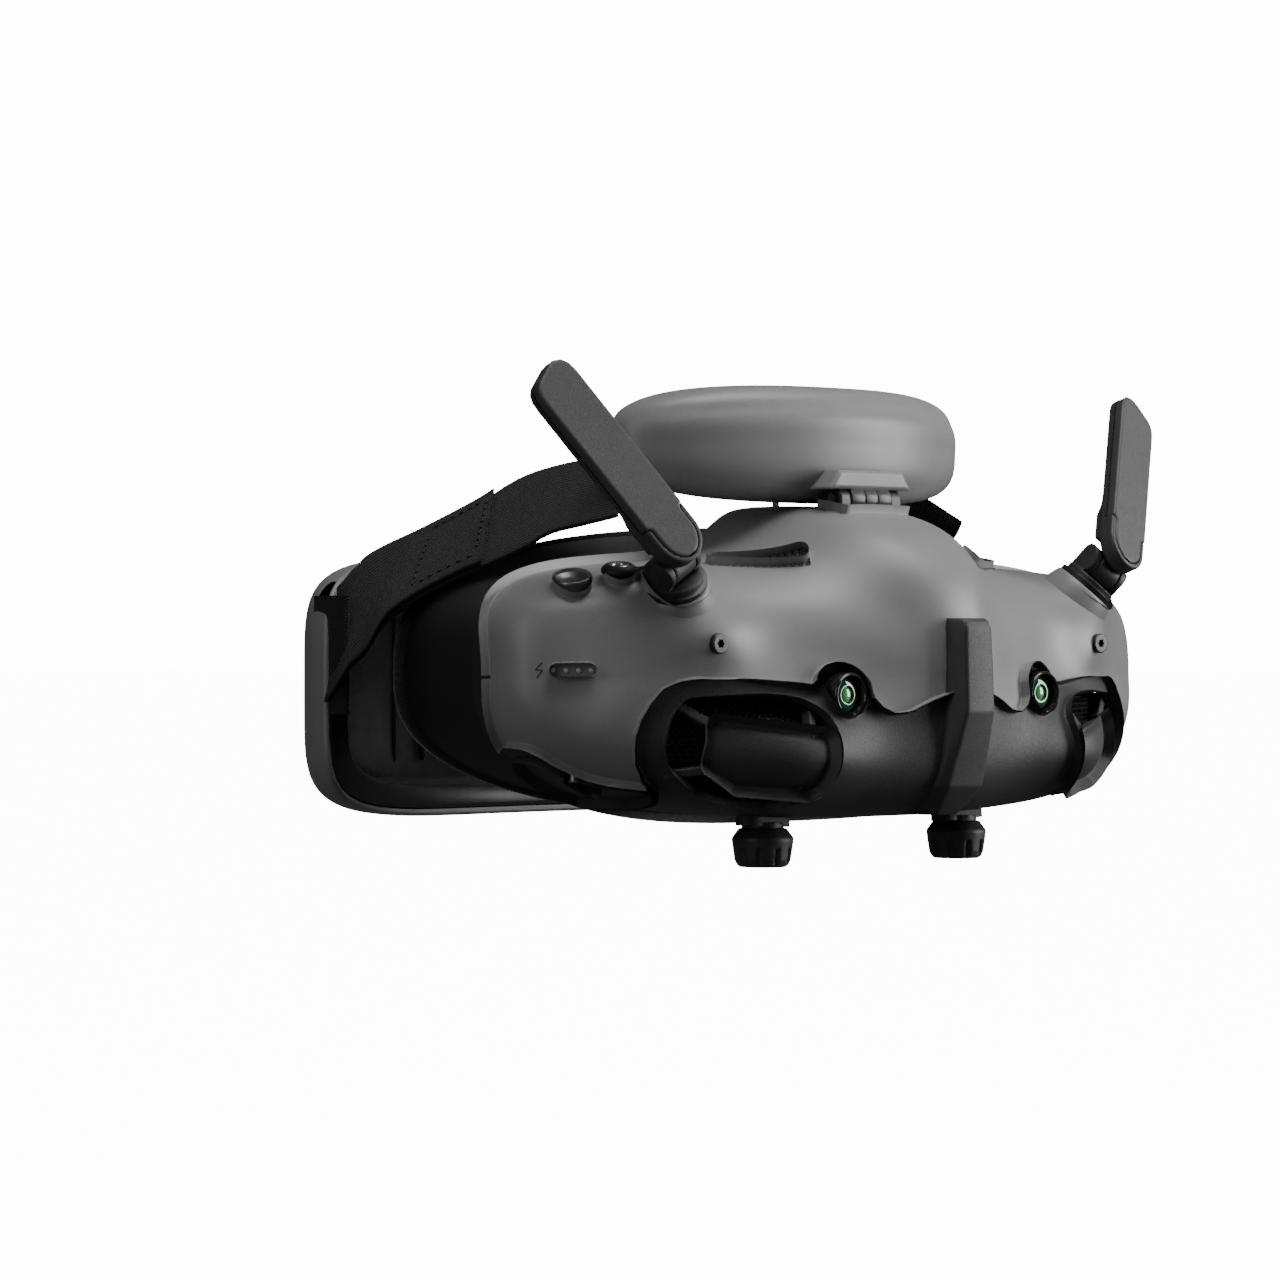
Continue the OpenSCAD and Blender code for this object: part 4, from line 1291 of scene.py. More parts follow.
    def flank_foot(self) -> bpy.types.Object:
        """The dark strips under the light shell's flanks."""
        body = FORM.surface(back=self.rear)
        p = body.points
        inside = self.foot_panel()(p) + self.gap + self.lip
        port = plate(arc(-79.0, -69.5, 1.75, -90, 90, 15) + arc(-85.0, -69.5, 1.75, 90, 270, 15),
                     -60, -24, axis=2)
        inside = np.maximum(inside, -port(p) + self.lip)
        value = np.maximum(inside, -(self.cover_distance(p) - self.gap) + self.lip)
        trimmed, on_cut = body.trimmed(value)
        on_cut |= trimmed.points[:, 1] >= np.maximum(
            self.rear, self._rim_y_at(trimmed.points) + 3) - 0.02
        return trimmed.lipped(on_cut, self.lip, FORM.wall).piece("flank_foot", TEXTURED, 60)

    def _rim_y_at(self, p: Points) -> np.ndarray:
        """The rim's Y in the direction of each point."""
        z = p[:, 2] - FORM.eye_z
        angle = np.arctan2(z / np.where(z > 0, FORM.brow, FORM.chin), p[:, 0] / FORM.half)
        for _ in range(10):
            rx, rz = FORM.rim(angle)
            angle = angle + (np.arctan2(z, p[:, 0]) - np.arctan2(rz, rx)) * 0.8
        return FORM.rim_y(angle)

    def cover(self) -> bpy.types.Object:
        """The dark lower cover, open at the pods, the cameras, the ridge and the dial slots."""
        body = FORM.surface(back=self.rear)
        p = body.points
        flat = np.stack([np.abs(p[:, 0]), p[:, 2]], 1)
        pods = outline_distance(flat, self.pod_outline())
        cameras = np.hypot(flat[:, 0] - self.eye_x, flat[:, 1] - self.cam_z) - 5.3
        cameras[p[:, 1] > -70] = 9
        pods[p[:, 1] > -58] = 9
        dials = plate(arc(self.eye_x + 4, -74.5, 3.3, -90, 90, 15)
                      + arc(self.eye_x - 4, -74.5, 3.3, 90, 270, 15), -60, -30, axis=2)
        value = np.maximum.reduce([self.cover_distance(p) + self.gap, -pods, -cameras,
                                   -dials.both_sides()(p)]) + self.lip
        trimmed, on_cut = body.trimmed(value)
        on_cut |= trimmed.points[:, 1] >= self.rear - 0.02
        return trimmed.lipped(on_cut, self.lip, FORM.wall).piece("lower_cover", TEXTURED, 60)

    def pod_bowl(self) -> Surface:
        """The walls and floor of the hollow behind one pod's cover plate, on the right side."""
        ring = self.pod_outline()
        centre = ring.mean(0)
        rows = []
        for depth, draw in ((0.25, 0.0), (1.2, 0.12), (3.4, 0.35), (5.0, 0.9), (5.6, 2.2)):
            away = ring - centre
            inner = ring - away / np.linalg.norm(away, axis=1, keepdims=True) * draw
            y = FORM.depth(inner[:, 0], inner[:, 1]) + depth
            rows.append(np.stack([inner[:, 0], y, inner[:, 1]], 1))
        for share in (0.8, 0.55, 0.3):
            inner = centre + (ring - centre) * share
            y = FORM.depth(inner[:, 0], inner[:, 1]) + 5.8
            rows.append(np.stack([inner[:, 0], y, inner[:, 1]], 1))
        bowl = Surface.grid(np.array(rows), wrap=True)
        last = len(bowl.points) - len(ring)
        tip = [centre[0], float(FORM.depth([centre[0]], [centre[1]])[0]) + 5.8, centre[1]]
        bowl = bowl.capped(list(range(last, last + len(ring))), tip)
        return Surface(bowl.points, [f[::-1] for f in bowl.faces])

    def cheek(self) -> Surface:
        """One pod's cover plate: it follows the skin, stands 0.3 mm proud and has a rolled rim."""
        xs, zs = np.arange(39, 69, 0.55), np.arange(-35, -16, 0.55)
        gx, gz = np.meshgrid(xs, zs, indexing="ij")
        flat = np.stack([gx.ravel(), gz.ravel()], 1)
        here = FORM.depth(flat[:, 0], flat[:, 1]) - 0.3
        edge = self.cheek_outline()(np.stack([flat[:, 0], np.full(len(flat), -100.0),
                                              flat[:, 1]], 1))
        here += 0.55 * np.clip((edge + 2.2) / 1.8, 0, 1) ** 2
        sheet = Surface.grid(np.stack([flat[:, 0], here, flat[:, 1]], 1).reshape(
            len(xs), len(zs), 3))
        sheet = Surface(sheet.points, sheet.faces)
        trimmed, on_cut = sheet.trimmed(edge + 0.6)
        return trimmed.lipped(on_cut, 0.6, 3.0, 5)

    def pod_ribs(self) -> Surface:
        """The stays that hold one cover plate off the hollow."""
        rods = []
        for (x0, z0), (x1, z1), width in (((63.6, -18.6), (70.2, -14.2), 1.1),
                                          ((63.6, -28.2), (70.6, -29.4), 1.0),
                                          ((44.4, -21.6), (42.2, -16.6), 1.1),
                                          ((44.8, -31.6), (43.6, -35.0), 1.0)):
            y0, y1 = FORM.depth([x0, x1], [z0, z1]) + 1.6
            run = np.array([x1 - x0, y1 - y0, z1 - z0])
            place = lined_up((x0, y0, z0), run, (0, -1, 0))
            length = float(np.linalg.norm(run))
            rods.append(block((width, 1.3, length / 2 + 0.6), (0, 0, length / 2), 0.4)
                        .placed(place))
        shape = rods[0]
        for one in rods[1:]:
            shape = shape | one
        return moulded(shape, (38, -112, -38), (75, -70, -10), 0.3)

    def honeycomb(self) -> tuple[Points, Points, Points]:
        """Where the honeycomb's cells lie in one pod, with their normals and first axes."""
        step = self.grille_cell
        spots = [(38 + i * step + (j % 2) * step / 2, -38 + j * step * 0.866)
                 for i in range(32) for j in range(28)]
        flat = np.array(spots)
        hollow = outline_distance(flat, self.pod_outline())
        plate_gap = self.cheek_outline()(np.stack([flat[:, 0], np.full(len(flat), -100.0),
                                                   flat[:, 1]], 1))
        flat = flat[(hollow < -1.0) & (plate_gap > -1.6)]
        y = FORM.depth(flat[:, 0], flat[:, 1]) + 3.4
        normals = FORM.normal(flat[:, 0], flat[:, 1])
        return np.stack([flat[:, 0], y, flat[:, 1]], 1), normals, np.tile([1.0, 0, 0],
                                                                          (len(flat), 1))

    def hexagon(self, outer: float, inner: float, depth: float) -> Surface:
        """One open honeycomb cell, with its axis along Z and its face at 0."""
        angle = np.radians(np.arange(6) * 60 + 30)
        ring = np.stack([np.cos(angle), np.sin(angle), np.zeros(6)], 1)
        rows = [ring * outer + [0, 0, -depth], ring * outer, ring * (inner + 0.06),
                ring * inner + [0, 0, -0.1], ring * inner + [0, 0, -depth]]
        return Surface.grid(np.array(rows), wrap=True)

    def ridge(self) -> bpy.types.Object:
        """The dark ridge down the middle: flat face, chamfered sides and a folded foot."""
        stations = np.array([
            [4.9, -109.6, 3.6, 4.9, -103.5], [4.2, -110.6, 3.8, 5.3, -103.0],
            [2.6, -111.2, 4.1, 5.6, -102.8], [-6, -111.6, 4.3, 5.9, -102.6],
            [-16, -111.9, 4.4, 6.2, -102.2], [-24.5, -109.6, 4.9, 6.8, -100.5],
            [-33, -107.0, 5.4, 7.4, -98.5], [-37.0, -103.6, 4.4, 6.2, -95.5],
            [-39.4, -101.2, 3.4, 4.8, -92.5]])
        heights = np.concatenate([np.linspace(4.9, 3.9, 5), np.linspace(3.4, -15, 24),
                                  np.linspace(-15.6, -17.4, 5), np.linspace(-18.4, -31.8, 16),
                                  np.linspace(-32.4, -34.2, 5), np.linspace(-34.8, -39.4, 8)])
        order = np.argsort(stations[:, 0])
        data = [np.interp(heights, stations[order, 0], stations[order, i]) for i in range(1, 5)]
        rows = []
        for h, y, face, foot, base in zip(heights, *data):
            back = float(FORM.depth([foot], [max(h, -38.5)])[0])
            outer = min(base, back - 0.9)
            half = eased([(foot, back + 2.4), (foot, outer), (face + 0.15, y + 0.1), (0, y - 0.05)],
                         0.9, 5)
            side = np.array(half)
            ring = np.concatenate([side, (side * [-1, 1])[::-1][1:]])
            rows.append(np.stack([ring[:, 0], ring[:, 1], np.full(len(ring), h)], 1))
        body = Surface.grid(np.array(rows))
        n = len(rows[0])
        top, bottom = rows[0], rows[-1]
        body = body + Surface(np.array(top), [list(range(n))])
        body = body + Surface(np.array(bottom), [list(range(n))[::-1]])
        made = body.piece("front_ridge", TEXTURED, 35)
        tidy(made)
        return made

    def build(self, repeater: Repeater) -> None:
        """Makes every piece of the two shells and fixes it to the visor."""
        report(self.shell(), "visor", "light_grey_plastic", "front_shell")
        report(self.cover(), "visor", "dark_grey_plastic", "front_cover")
        report(self.flank_foot(), "visor", "dark_grey_plastic")
        report(self.ridge(), "visor", "dark_grey_plastic", "centre_blade")
        cheek, bowl, ribs = self.cheek(), self.pod_bowl(), self.pod_ribs()
        spots, normals, first = self.honeycomb()
        cell = self.hexagon(self.grille_cell * 0.6, self.grille_cell * 0.43, 1.0)
        for side in Side:
            place = MIRROR if side is Side.LEFT else np.eye(4)
            tag = side.tag
            report(cheek.at(place).piece(f"cheek_plate_{tag}", TEXTURED, 50), "visor",
                   "dark_grey_plastic", f"pod_cover_{tag}")
            report(bowl.at(place).piece(f"cheek_bowl_{tag}", SHELL_DARK, 50), "visor",
                   "black_plastic", f"pod_grille_{tag}")
            report(ribs.at(place).piece(f"cheek_stays_{tag}", TEXTURED, 50), "visor",
                   "dark_grey_plastic")
            sign = [-1 if side is Side.LEFT else 1, 1, 1]
            comb = repeater.piece(f"cheek_honeycomb_{tag}", cell, TRAY_BLACK, spots * sign,
                                  normals * sign, first)
            report(comb, "visor", "black_plastic")


def tidy(piece: bpy.types.Object) -> None:
    """Merges a piece's doubled points and turns its faces outwards."""
    mesh = bmesh.new()
    mesh.from_mesh(piece.data)
    bmesh.ops.remove_doubles(mesh, verts=mesh.verts, dist=1e-6)
    bmesh.ops.recalc_face_normals(mesh, faces=mesh.faces)
    mesh.to_mesh(piece.data)
    mesh.free()


def report(piece: bpy.types.Object, body: str, slot: str, *nodes: str) -> bpy.types.Object:
    """Fixes a finished piece to a body and hides the frame nodes that it stands for.

    Args:
        piece: the finished piece.
        body: the body that it moves with.
        slot: not used.
        nodes: the frame's nodes that it replaces.

    Returns:
        The piece.
    """
    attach(piece, body)
    if nodes:
        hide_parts(*nodes)
    LOG.info("%s on %s: %d faces", piece.name, body, len(piece.data.polygons))
    return piece
# ------------------------------------------------------------------ parts on the visor

def dress(finish: Finish, *nodes: str) -> None:
    """Gives frame nodes whose shape is kept a finish.

    Args:
        finish: what they are made of.
        nodes: their names.
    """
    for name in nodes:
        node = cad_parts[name]
        if not node.material_slots:
            node.data.materials.append(finish.material())
        for slot in node.material_slots:
            slot.material = finish.material()


def hooped(profile: Sequence[Sequence[float]], sides: int = 96) -> Surface:
    """A turned ring from a closed profile of (radius, height) points that runs up its outside."""
    angle = np.arange(sides) * 2 * math.pi / sides
    ring = list(profile) + [profile[0]]
    rows = [np.stack([r * np.cos(angle), r * np.sin(angle), np.full(sides, h)], 1) for r, h in ring]
    body = Surface.grid(np.array(rows), wrap=True)
    n = len(profile) * sides
    faces = [[i % n for i in f] for f in body.faces]
    return Surface(body.points[:n], faces)


@dataclass
class Cameras:
    """The two front cameras, each with a bezel, a coated glass and its inner lenses."""

    at: tuple[float, float, float] = (-32.0, -101.3, -12.1)
    bezel: tuple[tuple[float, float], ...] = (
        (3.9, -6.0), (4.95, -6.0), (4.95, 0.5), (4.85, 0.9), (4.55, 1.15), (4.3, 1.1),
        (4.1, 0.7), (3.95, -0.6))
    glass: tuple[tuple[float, float], ...] = (
        (0.0, -2.2), (3.85, -2.2), (3.85, -1.1), (3.7, -0.75), (3.0, -0.42), (2.2, -0.25))

    def build(self) -> None:
        """Makes both cameras."""
        face = shift(*self.at) @ turn("X", 90)
        ring = hooped(self.bezel)
        # The middle of the glass is a separate small lens set in a dark ring
        outer = lathed([*self.glass, (1.95, -0.28), (1.75, -0.9), (0.0, -0.9)])
        eye = lathed([(0.0, -1.2), (1.7, -1.2), (1.7, -0.75), (1.2, -0.42), (0.6, -0.28),
                      (0.0, -0.25)])
        for side in Side:
            place, tag = side.place @ face, side.tag
            report(ring.at(place).piece(f"camera_ring_{tag}", GLOSS_BLACK), "visor", "gloss_black",
                   f"camera_bezel_{tag}")
            report(outer.at(place).piece(f"camera_window_{tag}", CAMERA_GLASS, 50), "visor",
                   "green_glass", f"camera_glass_{tag}")
            report(eye.at(place).piece(f"camera_eye_{tag}", CAMERA_EYE, 60), "visor", "green_glass")
            dress(SOCKET_BLACK, f"camera_module_{tag}")


@dataclass
class Fixings:
    """The six-lobed screws of the front and the back."""

    head: float = 2.3
    drive: float = 0.95

    def screw(self, head: float, length: float) -> Surface:
        """One screw with a domed head and a six-lobed recess, its seat at 0."""
        angle = [math.radians(60 * k) for k in range(6)]
        lobes = rod(self.drive * 0.62 * head / self.head, 0.5, 3)
        for a in angle:
            lobes = lobes | rod(0.3, 0.5, 3, centre=(self.drive * 0.72 * math.cos(a),
                                                    self.drive * 0.72 * math.sin(a), 0))
        body = rod(head, 0.0, 1.5, 0.35).cut(lobes, 0.08) | rod(1.3, -length, 0.3, 0.3)
        return moulded(body, (-head, -head, -length), (head, head, 1.6), 0.16)

    def build(self, repeater: Repeater) -> None:
        """Sets both screws of the front and the four of the back."""
        front = np.array([[x, -91.1, -0.8] for x in (-62.8, 62.8)])
        report(repeater.piece("face_screws", self.screw(self.head, 5), BLACKENED, front,
                              np.tile([0, -1.0, 0], (2, 1)), np.tile([1.0, 0.2, 0], (2, 1))),
               "visor", "steel", "front_screws")
        back = np.array([[x, -51.9, z] for x in (-60, 60) for z in (8, -24)])
        report(repeater.piece("frame_screws", self.screw(2.0, 3.6), BLACKENED, back,
                              np.tile([0, 1.0, 0], (4, 1)), np.tile([1.0, 0, 0.3], (4, 1))),
               "visor", "steel", "case_screws")


@dataclass
class Controls:
    """The stick, the back button, the row of status lights and the port."""

    shells: VisorShells
    light_step: float = 2.7
    pill_top: float = -0.35

    def stick(self) -> None:
        """The mushroom cap with its ring insert, and the throat that it stands in."""
        place = self.shells.stick_place()
        throat = hooped([(2.7, -2.6), (4.3, -2.6), (4.3, -1.6), (3.4, -1.2), (2.9, -1.4)])
        report(throat.at(place).piece("stick_throat", SHELL_DARK, 60), "visor",
               "black_plastic", "stick_ring")
        cap = eased([(0, -1.4), (2.3, -1.4), (2.3, 1.9), (3.3, 2.35), (4.1, 3.3), (3.75, 4.25),
                     (2.75, 4.95), (2.4, 4.85), (2.3, 4.45), (0, 4.4)], 0.35, 3)
        report(lathed(cap).at(place).piece("stick_top", RUBBER, 60), "stick", "black_rubber",
               "stick_cap")
        insert = hooped([(1.3, 4.3), (2.25, 4.3), (2.25, 4.7), (2.05, 4.85), (1.5, 4.7)])
        report(insert.at(place).piece("stick_insert", BRIGHT_STEEL, 40), "stick", "steel")
        dress(SOCKET_BLACK, "stick_plunger", "stick_gimbal")

    def button(self) -> None:
        """The dished back button."""
        dish = eased([(0, -2.5), (3.2, -2.5), (3.2, 0), (4.05, 0), (4.05, 3.35), (3.8, 3.8),
                      (3.3, 3.6), (2.0, 3.0), (0, 2.85)], 0.4, 3)
        report(lathed(dish).at(self.shells.button_place()).piece("back_key_top", BUTTON_GREY, 60),
               "back_key", "dark_grey_plastic", "back_button")

    def lights(self, repeater: Repeater) -> None:
        """The pill with four lights, and the generic power mark beside it."""
        place = self.shells.light_place()
        pill = plate(arc(3.6, 0, 1.9, -90, 90, 15) + arc(-3.6, 0, 1.9, 90, 270, 15),
                     -3.2, self.pill_top, 0.2, axis=2)
        report(moulded(pill, (-5.6, -2, -3.3), (5.6, 2, 0), 0.25).at(place)
               .piece("light_pill", SHELL_GREY, 60), "visor", "light_pipe", "light_window")
        spots = np.array([[self.light_step * (k - 1.5), 0.0, self.pill_top] for k in range(4)])
        ring = hooped([(0.5, -0.3), (0.78, -0.3), (0.78, 0.12), (0.7, 0.2), (0.56, 0.16)], 32)
        lens = lathed([(0, -0.3), (0.5, -0.3), (0.5, 0.02), (0.35, 0.16), (0, 0.22)], 32)
        normal, across = place[:3, 2], place[:3, 0]
        # The lenses' finish gives them a faint painted glow.
        for name, part, finish, slot in (("light_rims", ring, SHELL_GREY, "light_grey_plastic"),
                                         ("light_lenses", lens, PAINTED_GLOW_PIPE, "light_pipe")):
            report(repeater.piece(name, part, finish, moved(spots, place), np.tile(normal, (4, 1)),
                                  np.tile(across, (4, 1))), "visor", slot)
        self.bolt(place)

    def bolt(self, place: np.ndarray) -> None:
        """A small zigzag mark laid on the skin beside the lights."""
        strokes = ([(0.75, 2.0), (-0.95, 0.1)], [(-0.95, 0.1), (0.85, -0.1)],
                   [(0.85, -0.1), (-0.6, -2.0)])
        skin = FORM.surface(around=360, rows=70, back=-60)
        tree = BVHTree.FromPolygons(skin.points.tolist(), skin.faces)
        drawn = []
        for start, end in strokes:
            start, end = np.array(start), np.array(end)
            run = (end - start) / np.linalg.norm(end - start)
            side = np.array([-run[1], run[0]]) * 0.17
            rows = []
            for t in np.linspace(-0.03, 1.03, 7):
                row = []
                for s in (-1, 1):
                    flat = start + (end - start) * t + side * s
                    ray = moved(np.array([[flat[0] * 0.8 - 7.1, flat[1] * 0.8, 12.0]]), place)[0]
                    hit, normal, _, _ = tree.ray_cast(Vector(ray), Vector(-place[:3, 2]))
                    row.append(np.array(hit) + place[:3, 2] * 0.04)
                rows.append(row)
            drawn.append(Surface.grid(np.array(rows)))
        mark = drawn[0] + drawn[1] + drawn[2]
        report(mark.piece("power_mark", ICON_INK, 60), "visor", "dark_grey_plastic")

    def port(self) -> None:
        """The socket behind the port's opening: a steel mouth round a black tongue."""
        mouth = plate(arc(-79.2, -69.5, 1.6, -90, 90, 15) + arc(-84.8, -69.5, 1.6, 90, 270, 15),
                      -31, -24, 0.1, axis=2)
        hollow = plate(arc(-79.2, -69.5, 1.3, -90, 90, 15) + arc(-84.8, -69.5, 1.3, 90, 270, 15),
                       -32, -25, 0.1, axis=2)
        tongue = block((3.3, 0.4, 2.4), (-82, -69.5, -27.2), 0.15)
        shape = (mouth - hollow)
        low, high = (-88, -72, -32), (-76, -67, -23)
        report(moulded(shape, low, high, 0.25).piece("port_mouth", STEEL, 40), "visor", "steel",
               "port_block")
        report(moulded(tongue, low, high, 0.25).piece("port_tongue", SOCKET_BLACK, 40), "visor",
               "black_plastic")

    def build(self, repeater: Repeater) -> None:
        """Makes all the controls."""
        self.stick()
        self.button()
        self.lights(repeater)
        self.port()


@dataclass
class TopVents:
    """The two slots beside the hump, each with a floor of staggered holes."""

    shells: VisorShells
    depth: float = 0.75
    brick: tuple[float, float] = (1.25, 0.6)
    pitch: tuple[float, float] = (1.7, 1.02)

    def floor(self) -> Surface:
        """The perforated floor of the left vent."""
        place = self.shells.vent_place()
        u, v = np.meshgrid(np.arange(-14, 14.01, 0.14), np.arange(-4.2, 4.21, 0.12), indexing="ij")
        flat = np.stack([u.ravel(), v.ravel(), np.full(u.size, 30.0)], 1)
        top = moved(flat, place)
        skin = FORM.surface(around=360, rows=80, inset=self.depth)
        tree = BVHTree.FromPolygons(skin.points.tolist(), skin.faces)
        heights = np.array([(tree.ray_cast(Vector(p), Vector((0, 0, -1)))[0] or Vector(p)).z
                            for p in top])
        points = np.stack([top[:, 0], top[:, 1], heights], 1).reshape(*u.shape, 3)
        sheet = Surface.grid(points)
        rowed = np.round(flat[:, 1] / self.pitch[1])
        du = (flat[:, 0] / self.pitch[0] + rowed * 0.5) % 1.0 - 0.5
        dv = flat[:, 1] - rowed * self.pitch[1]
        hole = np.maximum(np.abs(du) * self.pitch[0] - self.brick[0] / 2,
                          np.abs(dv) - self.brick[1] / 2)
        hole = np.where(np.abs(rowed) > 2.5, 1.0, hole)
        hole = np.maximum(hole, np.abs(flat[:, 0]) - 11.8)
        trimmed, on_cut = sheet.trimmed(-hole)
        return trimmed.lipped(on_cut, 0.05, 1.2, 1)

    def build(self) -> None:
        """Makes both vents."""
        floor = self.floor()
        for side in Side:
            made = floor.at(side.place).piece(f"vent_floor_{side.tag}", SHELL_GREY, 50)
            tidy_up(made)
            report(made, "visor", "black_plastic", f"top_vent_{side.tag}")


def tidy_up(piece: bpy.types.Object) -> None:
    """Turns an open sheet's faces upwards."""
    mesh = piece.data
    up = sum(p.normal.z * p.area for p in mesh.polygons)
    if up < 0:
        mesh.flip_normals()


@dataclass
class Antennas:
    """The two folding antennas: socket boss, collar, pin, foot housing and face plate."""

    shells: VisorShells
    length: float = 51.0
    half: float = 6.3
    near: float = -8.4
    back: float = -4.0
    lean: float = -50.8
    turn_right: float = 5.0

    def outline(self, foot: float, draw: float) -> list[list[float]]:
        """The blade's outline, with its foot's depth and how far it is drawn in."""
        half, top = self.half - draw, self.length - draw
        ring = [[half * math.cos(math.radians(a)), 5 + foot * math.sin(math.radians(a))]
                for a in range(180, 361, 10)]
        return ring + [[half, top - 4.6], [half - 0.4, top - 2.4], [half - 1.5, top - 0.8],
                       [half - 3.4, top], [half - 5.6, top - 0.35],
                       [2.2 - half, top - 2.0], [0.9 - half, top - 3.0], [0.2 - half, top - 4.6],
                       [-half, top - 6.4]]

    def cover(self) -> Solid:
        """The face plate, whose foot is drawn in behind the housing's round end."""
        narrow = [[4.9 * math.cos(math.radians(a)), 5.0 + 5.7 * math.sin(math.radians(a))]
                  for a in range(180, 361, 10)]
        ring = narrow + [[4.9, 8.6], [5.3, 9.3], [self.half - 0.1, 9.7]] \
            + self.outline(5.5, 0.1)[19:] + [[0.1 - self.half, 9.7], [-5.3, 9.3], [-4.9, 8.6]]
        return plate(ring, self.near, self.near + 2.6, 0.55, 1)

    def housing(self) -> Solid:
        """The housing behind the plate, with the thicker foot and the knuckle."""
        full = self.outline(6.9, 0.0)
        body = plate(full, self.near + 0.25, self.back, 0.7, 1)
        pocket = Solid(lambda p: self.cover()(p) - 0.17)
        behind = block((20, 20, 60), (0, self.near - 20 + 1.95, 69.9))
        wedge = plate([[self.back - 1, 4.6], [-2.5, 4.9], [-2.3, 6.0], [-2.3, 12.6],
                       [self.back - 0.1, 17.2], [self.back - 1, 17.6]], -5.7, 5.7, 0.35, 0)
        knuckle = rod(3.75, -3.4, 3.4, 0.3, 0)
        neck = block((3.2, 2.6, 1.3), (0, -3.2, 1.8), 0.3)
        return ((body - pocket) - behind).joined(wedge, 0.8) | (knuckle | neck)

    def collar(self) -> Solid:
        """The collar with its two rounded ears."""
        drum = rod(6.45, -7.4, -4.8, 0.3).joined(rod(6.6, -7.4, -6.2, 0.3), 0.5)
        ears = rod(6.3, -6.9, 9, 0.2).within(
            rod(3.8, -10, 10, axis=0, centre=(0, 0, -2))
            | block((10, 3.8, 2.6), (0, 1.3, -4.5)), 0.3)
        gap = block((3.55, 9, 5.0), (0, -4.2, 2.6), 0.2) | block((3.55, 8, 3.0), (0, 4, 1.0), 0.2) \
            | rod(3.9, -3.55, 3.55, axis=0, centre=(0, 0, -2))
        stem = rod(3.0, -11, -6.0, 0.3)
        return (drum.joined(ears, 0.4)).cut(gap, 0.3) | stem

    def build(self) -> None:
        """Makes both antennas."""
        blade = shift(0, 0, -2) @ turn("X", self.lean)
        low, high = (-6.6, -8.6, -4), (6.6, 3.2, 52)
        plate_mesh = moulded(self.cover(), (-6.5, -8.6, 0), (6.5, -5.6, 51.2), 0.36).at(blade)
        foot_mesh = moulded(self.housing(), low, high, 0.36).at(blade)
        collar_mesh = moulded(self.collar(), (-6.7, -6.7, -11.2), (6.7, 6.7, 2.2), 0.3)
        pin = lathed(eased([(0, -6.0), (1.2, -6.0), (1.2, 6.0), (0, 6.0)], 0.15), 48) \
            .at(shift(0, 0, -2) @ turn("Y", 90))
        boss = hooped([(6.74, -17), (9.4, -17), (9.3, -13.5), (8.9, -11.2), (8.4, -9.4),
                       (8.0, -8.2), (7.7, -7.65), (7.35, -7.45), (7.0, -7.5), (6.8, -7.8)], 128)
        for side in Side:
            spin = turn("Z", self.turn_right if side is Side.RIGHT else 0.0)
            fixed = side.place @ self.shells.collar_place()
            place, tag = fixed @ spin, side.tag
            report(plate_mesh.at(place).piece(f"antenna_face_{tag}", ANTENNA_GREY, 50),
                   f"antenna_{tag}", "dark_grey_plastic")
            report(foot_mesh.at(place).piece(f"antenna_housing_{tag}", ANTENNA_BACK, 50),
                   f"antenna_{tag}", "dark_grey_plastic", f"antenna_blade_{tag}")
            report(collar_mesh.at(place).piece(f"antenna_drum_{tag}", COLLAR_GREY, 50),
                   f"collar_{tag}", "dark_grey_plastic", f"antenna_collar_{tag}")
            report(pin.at(place).piece(f"antenna_axle_{tag}", ANTENNA_BACK, 40), f"collar_{tag}",
                   "black_plastic", f"antenna_pin_{tag}")
            report(boss.at(fixed).piece(f"antenna_boss_{tag}", SHELL_GREY, 60), "visor",
                   "light_grey_plastic")
        dress(SOCKET_BLACK, "antenna_sockets")


@dataclass
class Dials:
    """The two grooved dial knobs under the visor."""

    at: tuple[float, float] = (-32.0, -74.5)
    slots: int = 10
    outline: tuple[tuple[float, float], ...] = (
        (0, -51.0), (5.2, -51.0), (5.9, -50.4), (6.35, -49.4), (7.0, -44.9), (6.9, -44.3),
        (5.5, -42.4), (4.75, -42.2), (4.75, -40.9), (2.05, -40.9), (2.05, -26.0), (0, -26.0))

    def knob(self) -> Solid:
        """The knob with a deep groove at each slot."""
        body = turned(self.outline, 0.0)
        grooves: Solid | None = None
        for k in range(self.slots):
            place = turn("Z", 3.5 + 360 / self.slots * k) @ shift(7.0, 0, -49.2) @ turn("Y", 8.5)
            one = block((1.25, 0.72, 2.5), edge=0.6).placed(place)
            grooves = one if grooves is None else grooves | one
        return body.cut(grooves, 0.25)

    def build(self) -> None:
        """Makes both knobs."""
        mesh = moulded(self.knob(), (-7.2, -7.2, -51.2), (7.2, 7.2, -25.8), 0.32)
        for side in Side:
            place = side.place @ shift(self.at[0], self.at[1], 0)
            report(mesh.at(place).piece(f"dial_grip_{side.tag}", KNOB_BLACK, 45),
                   f"knob_{side.tag}", "black_plastic", f"dial_knob_{side.tag}")
# ------------------------------------------------------------------ headband and soft parts

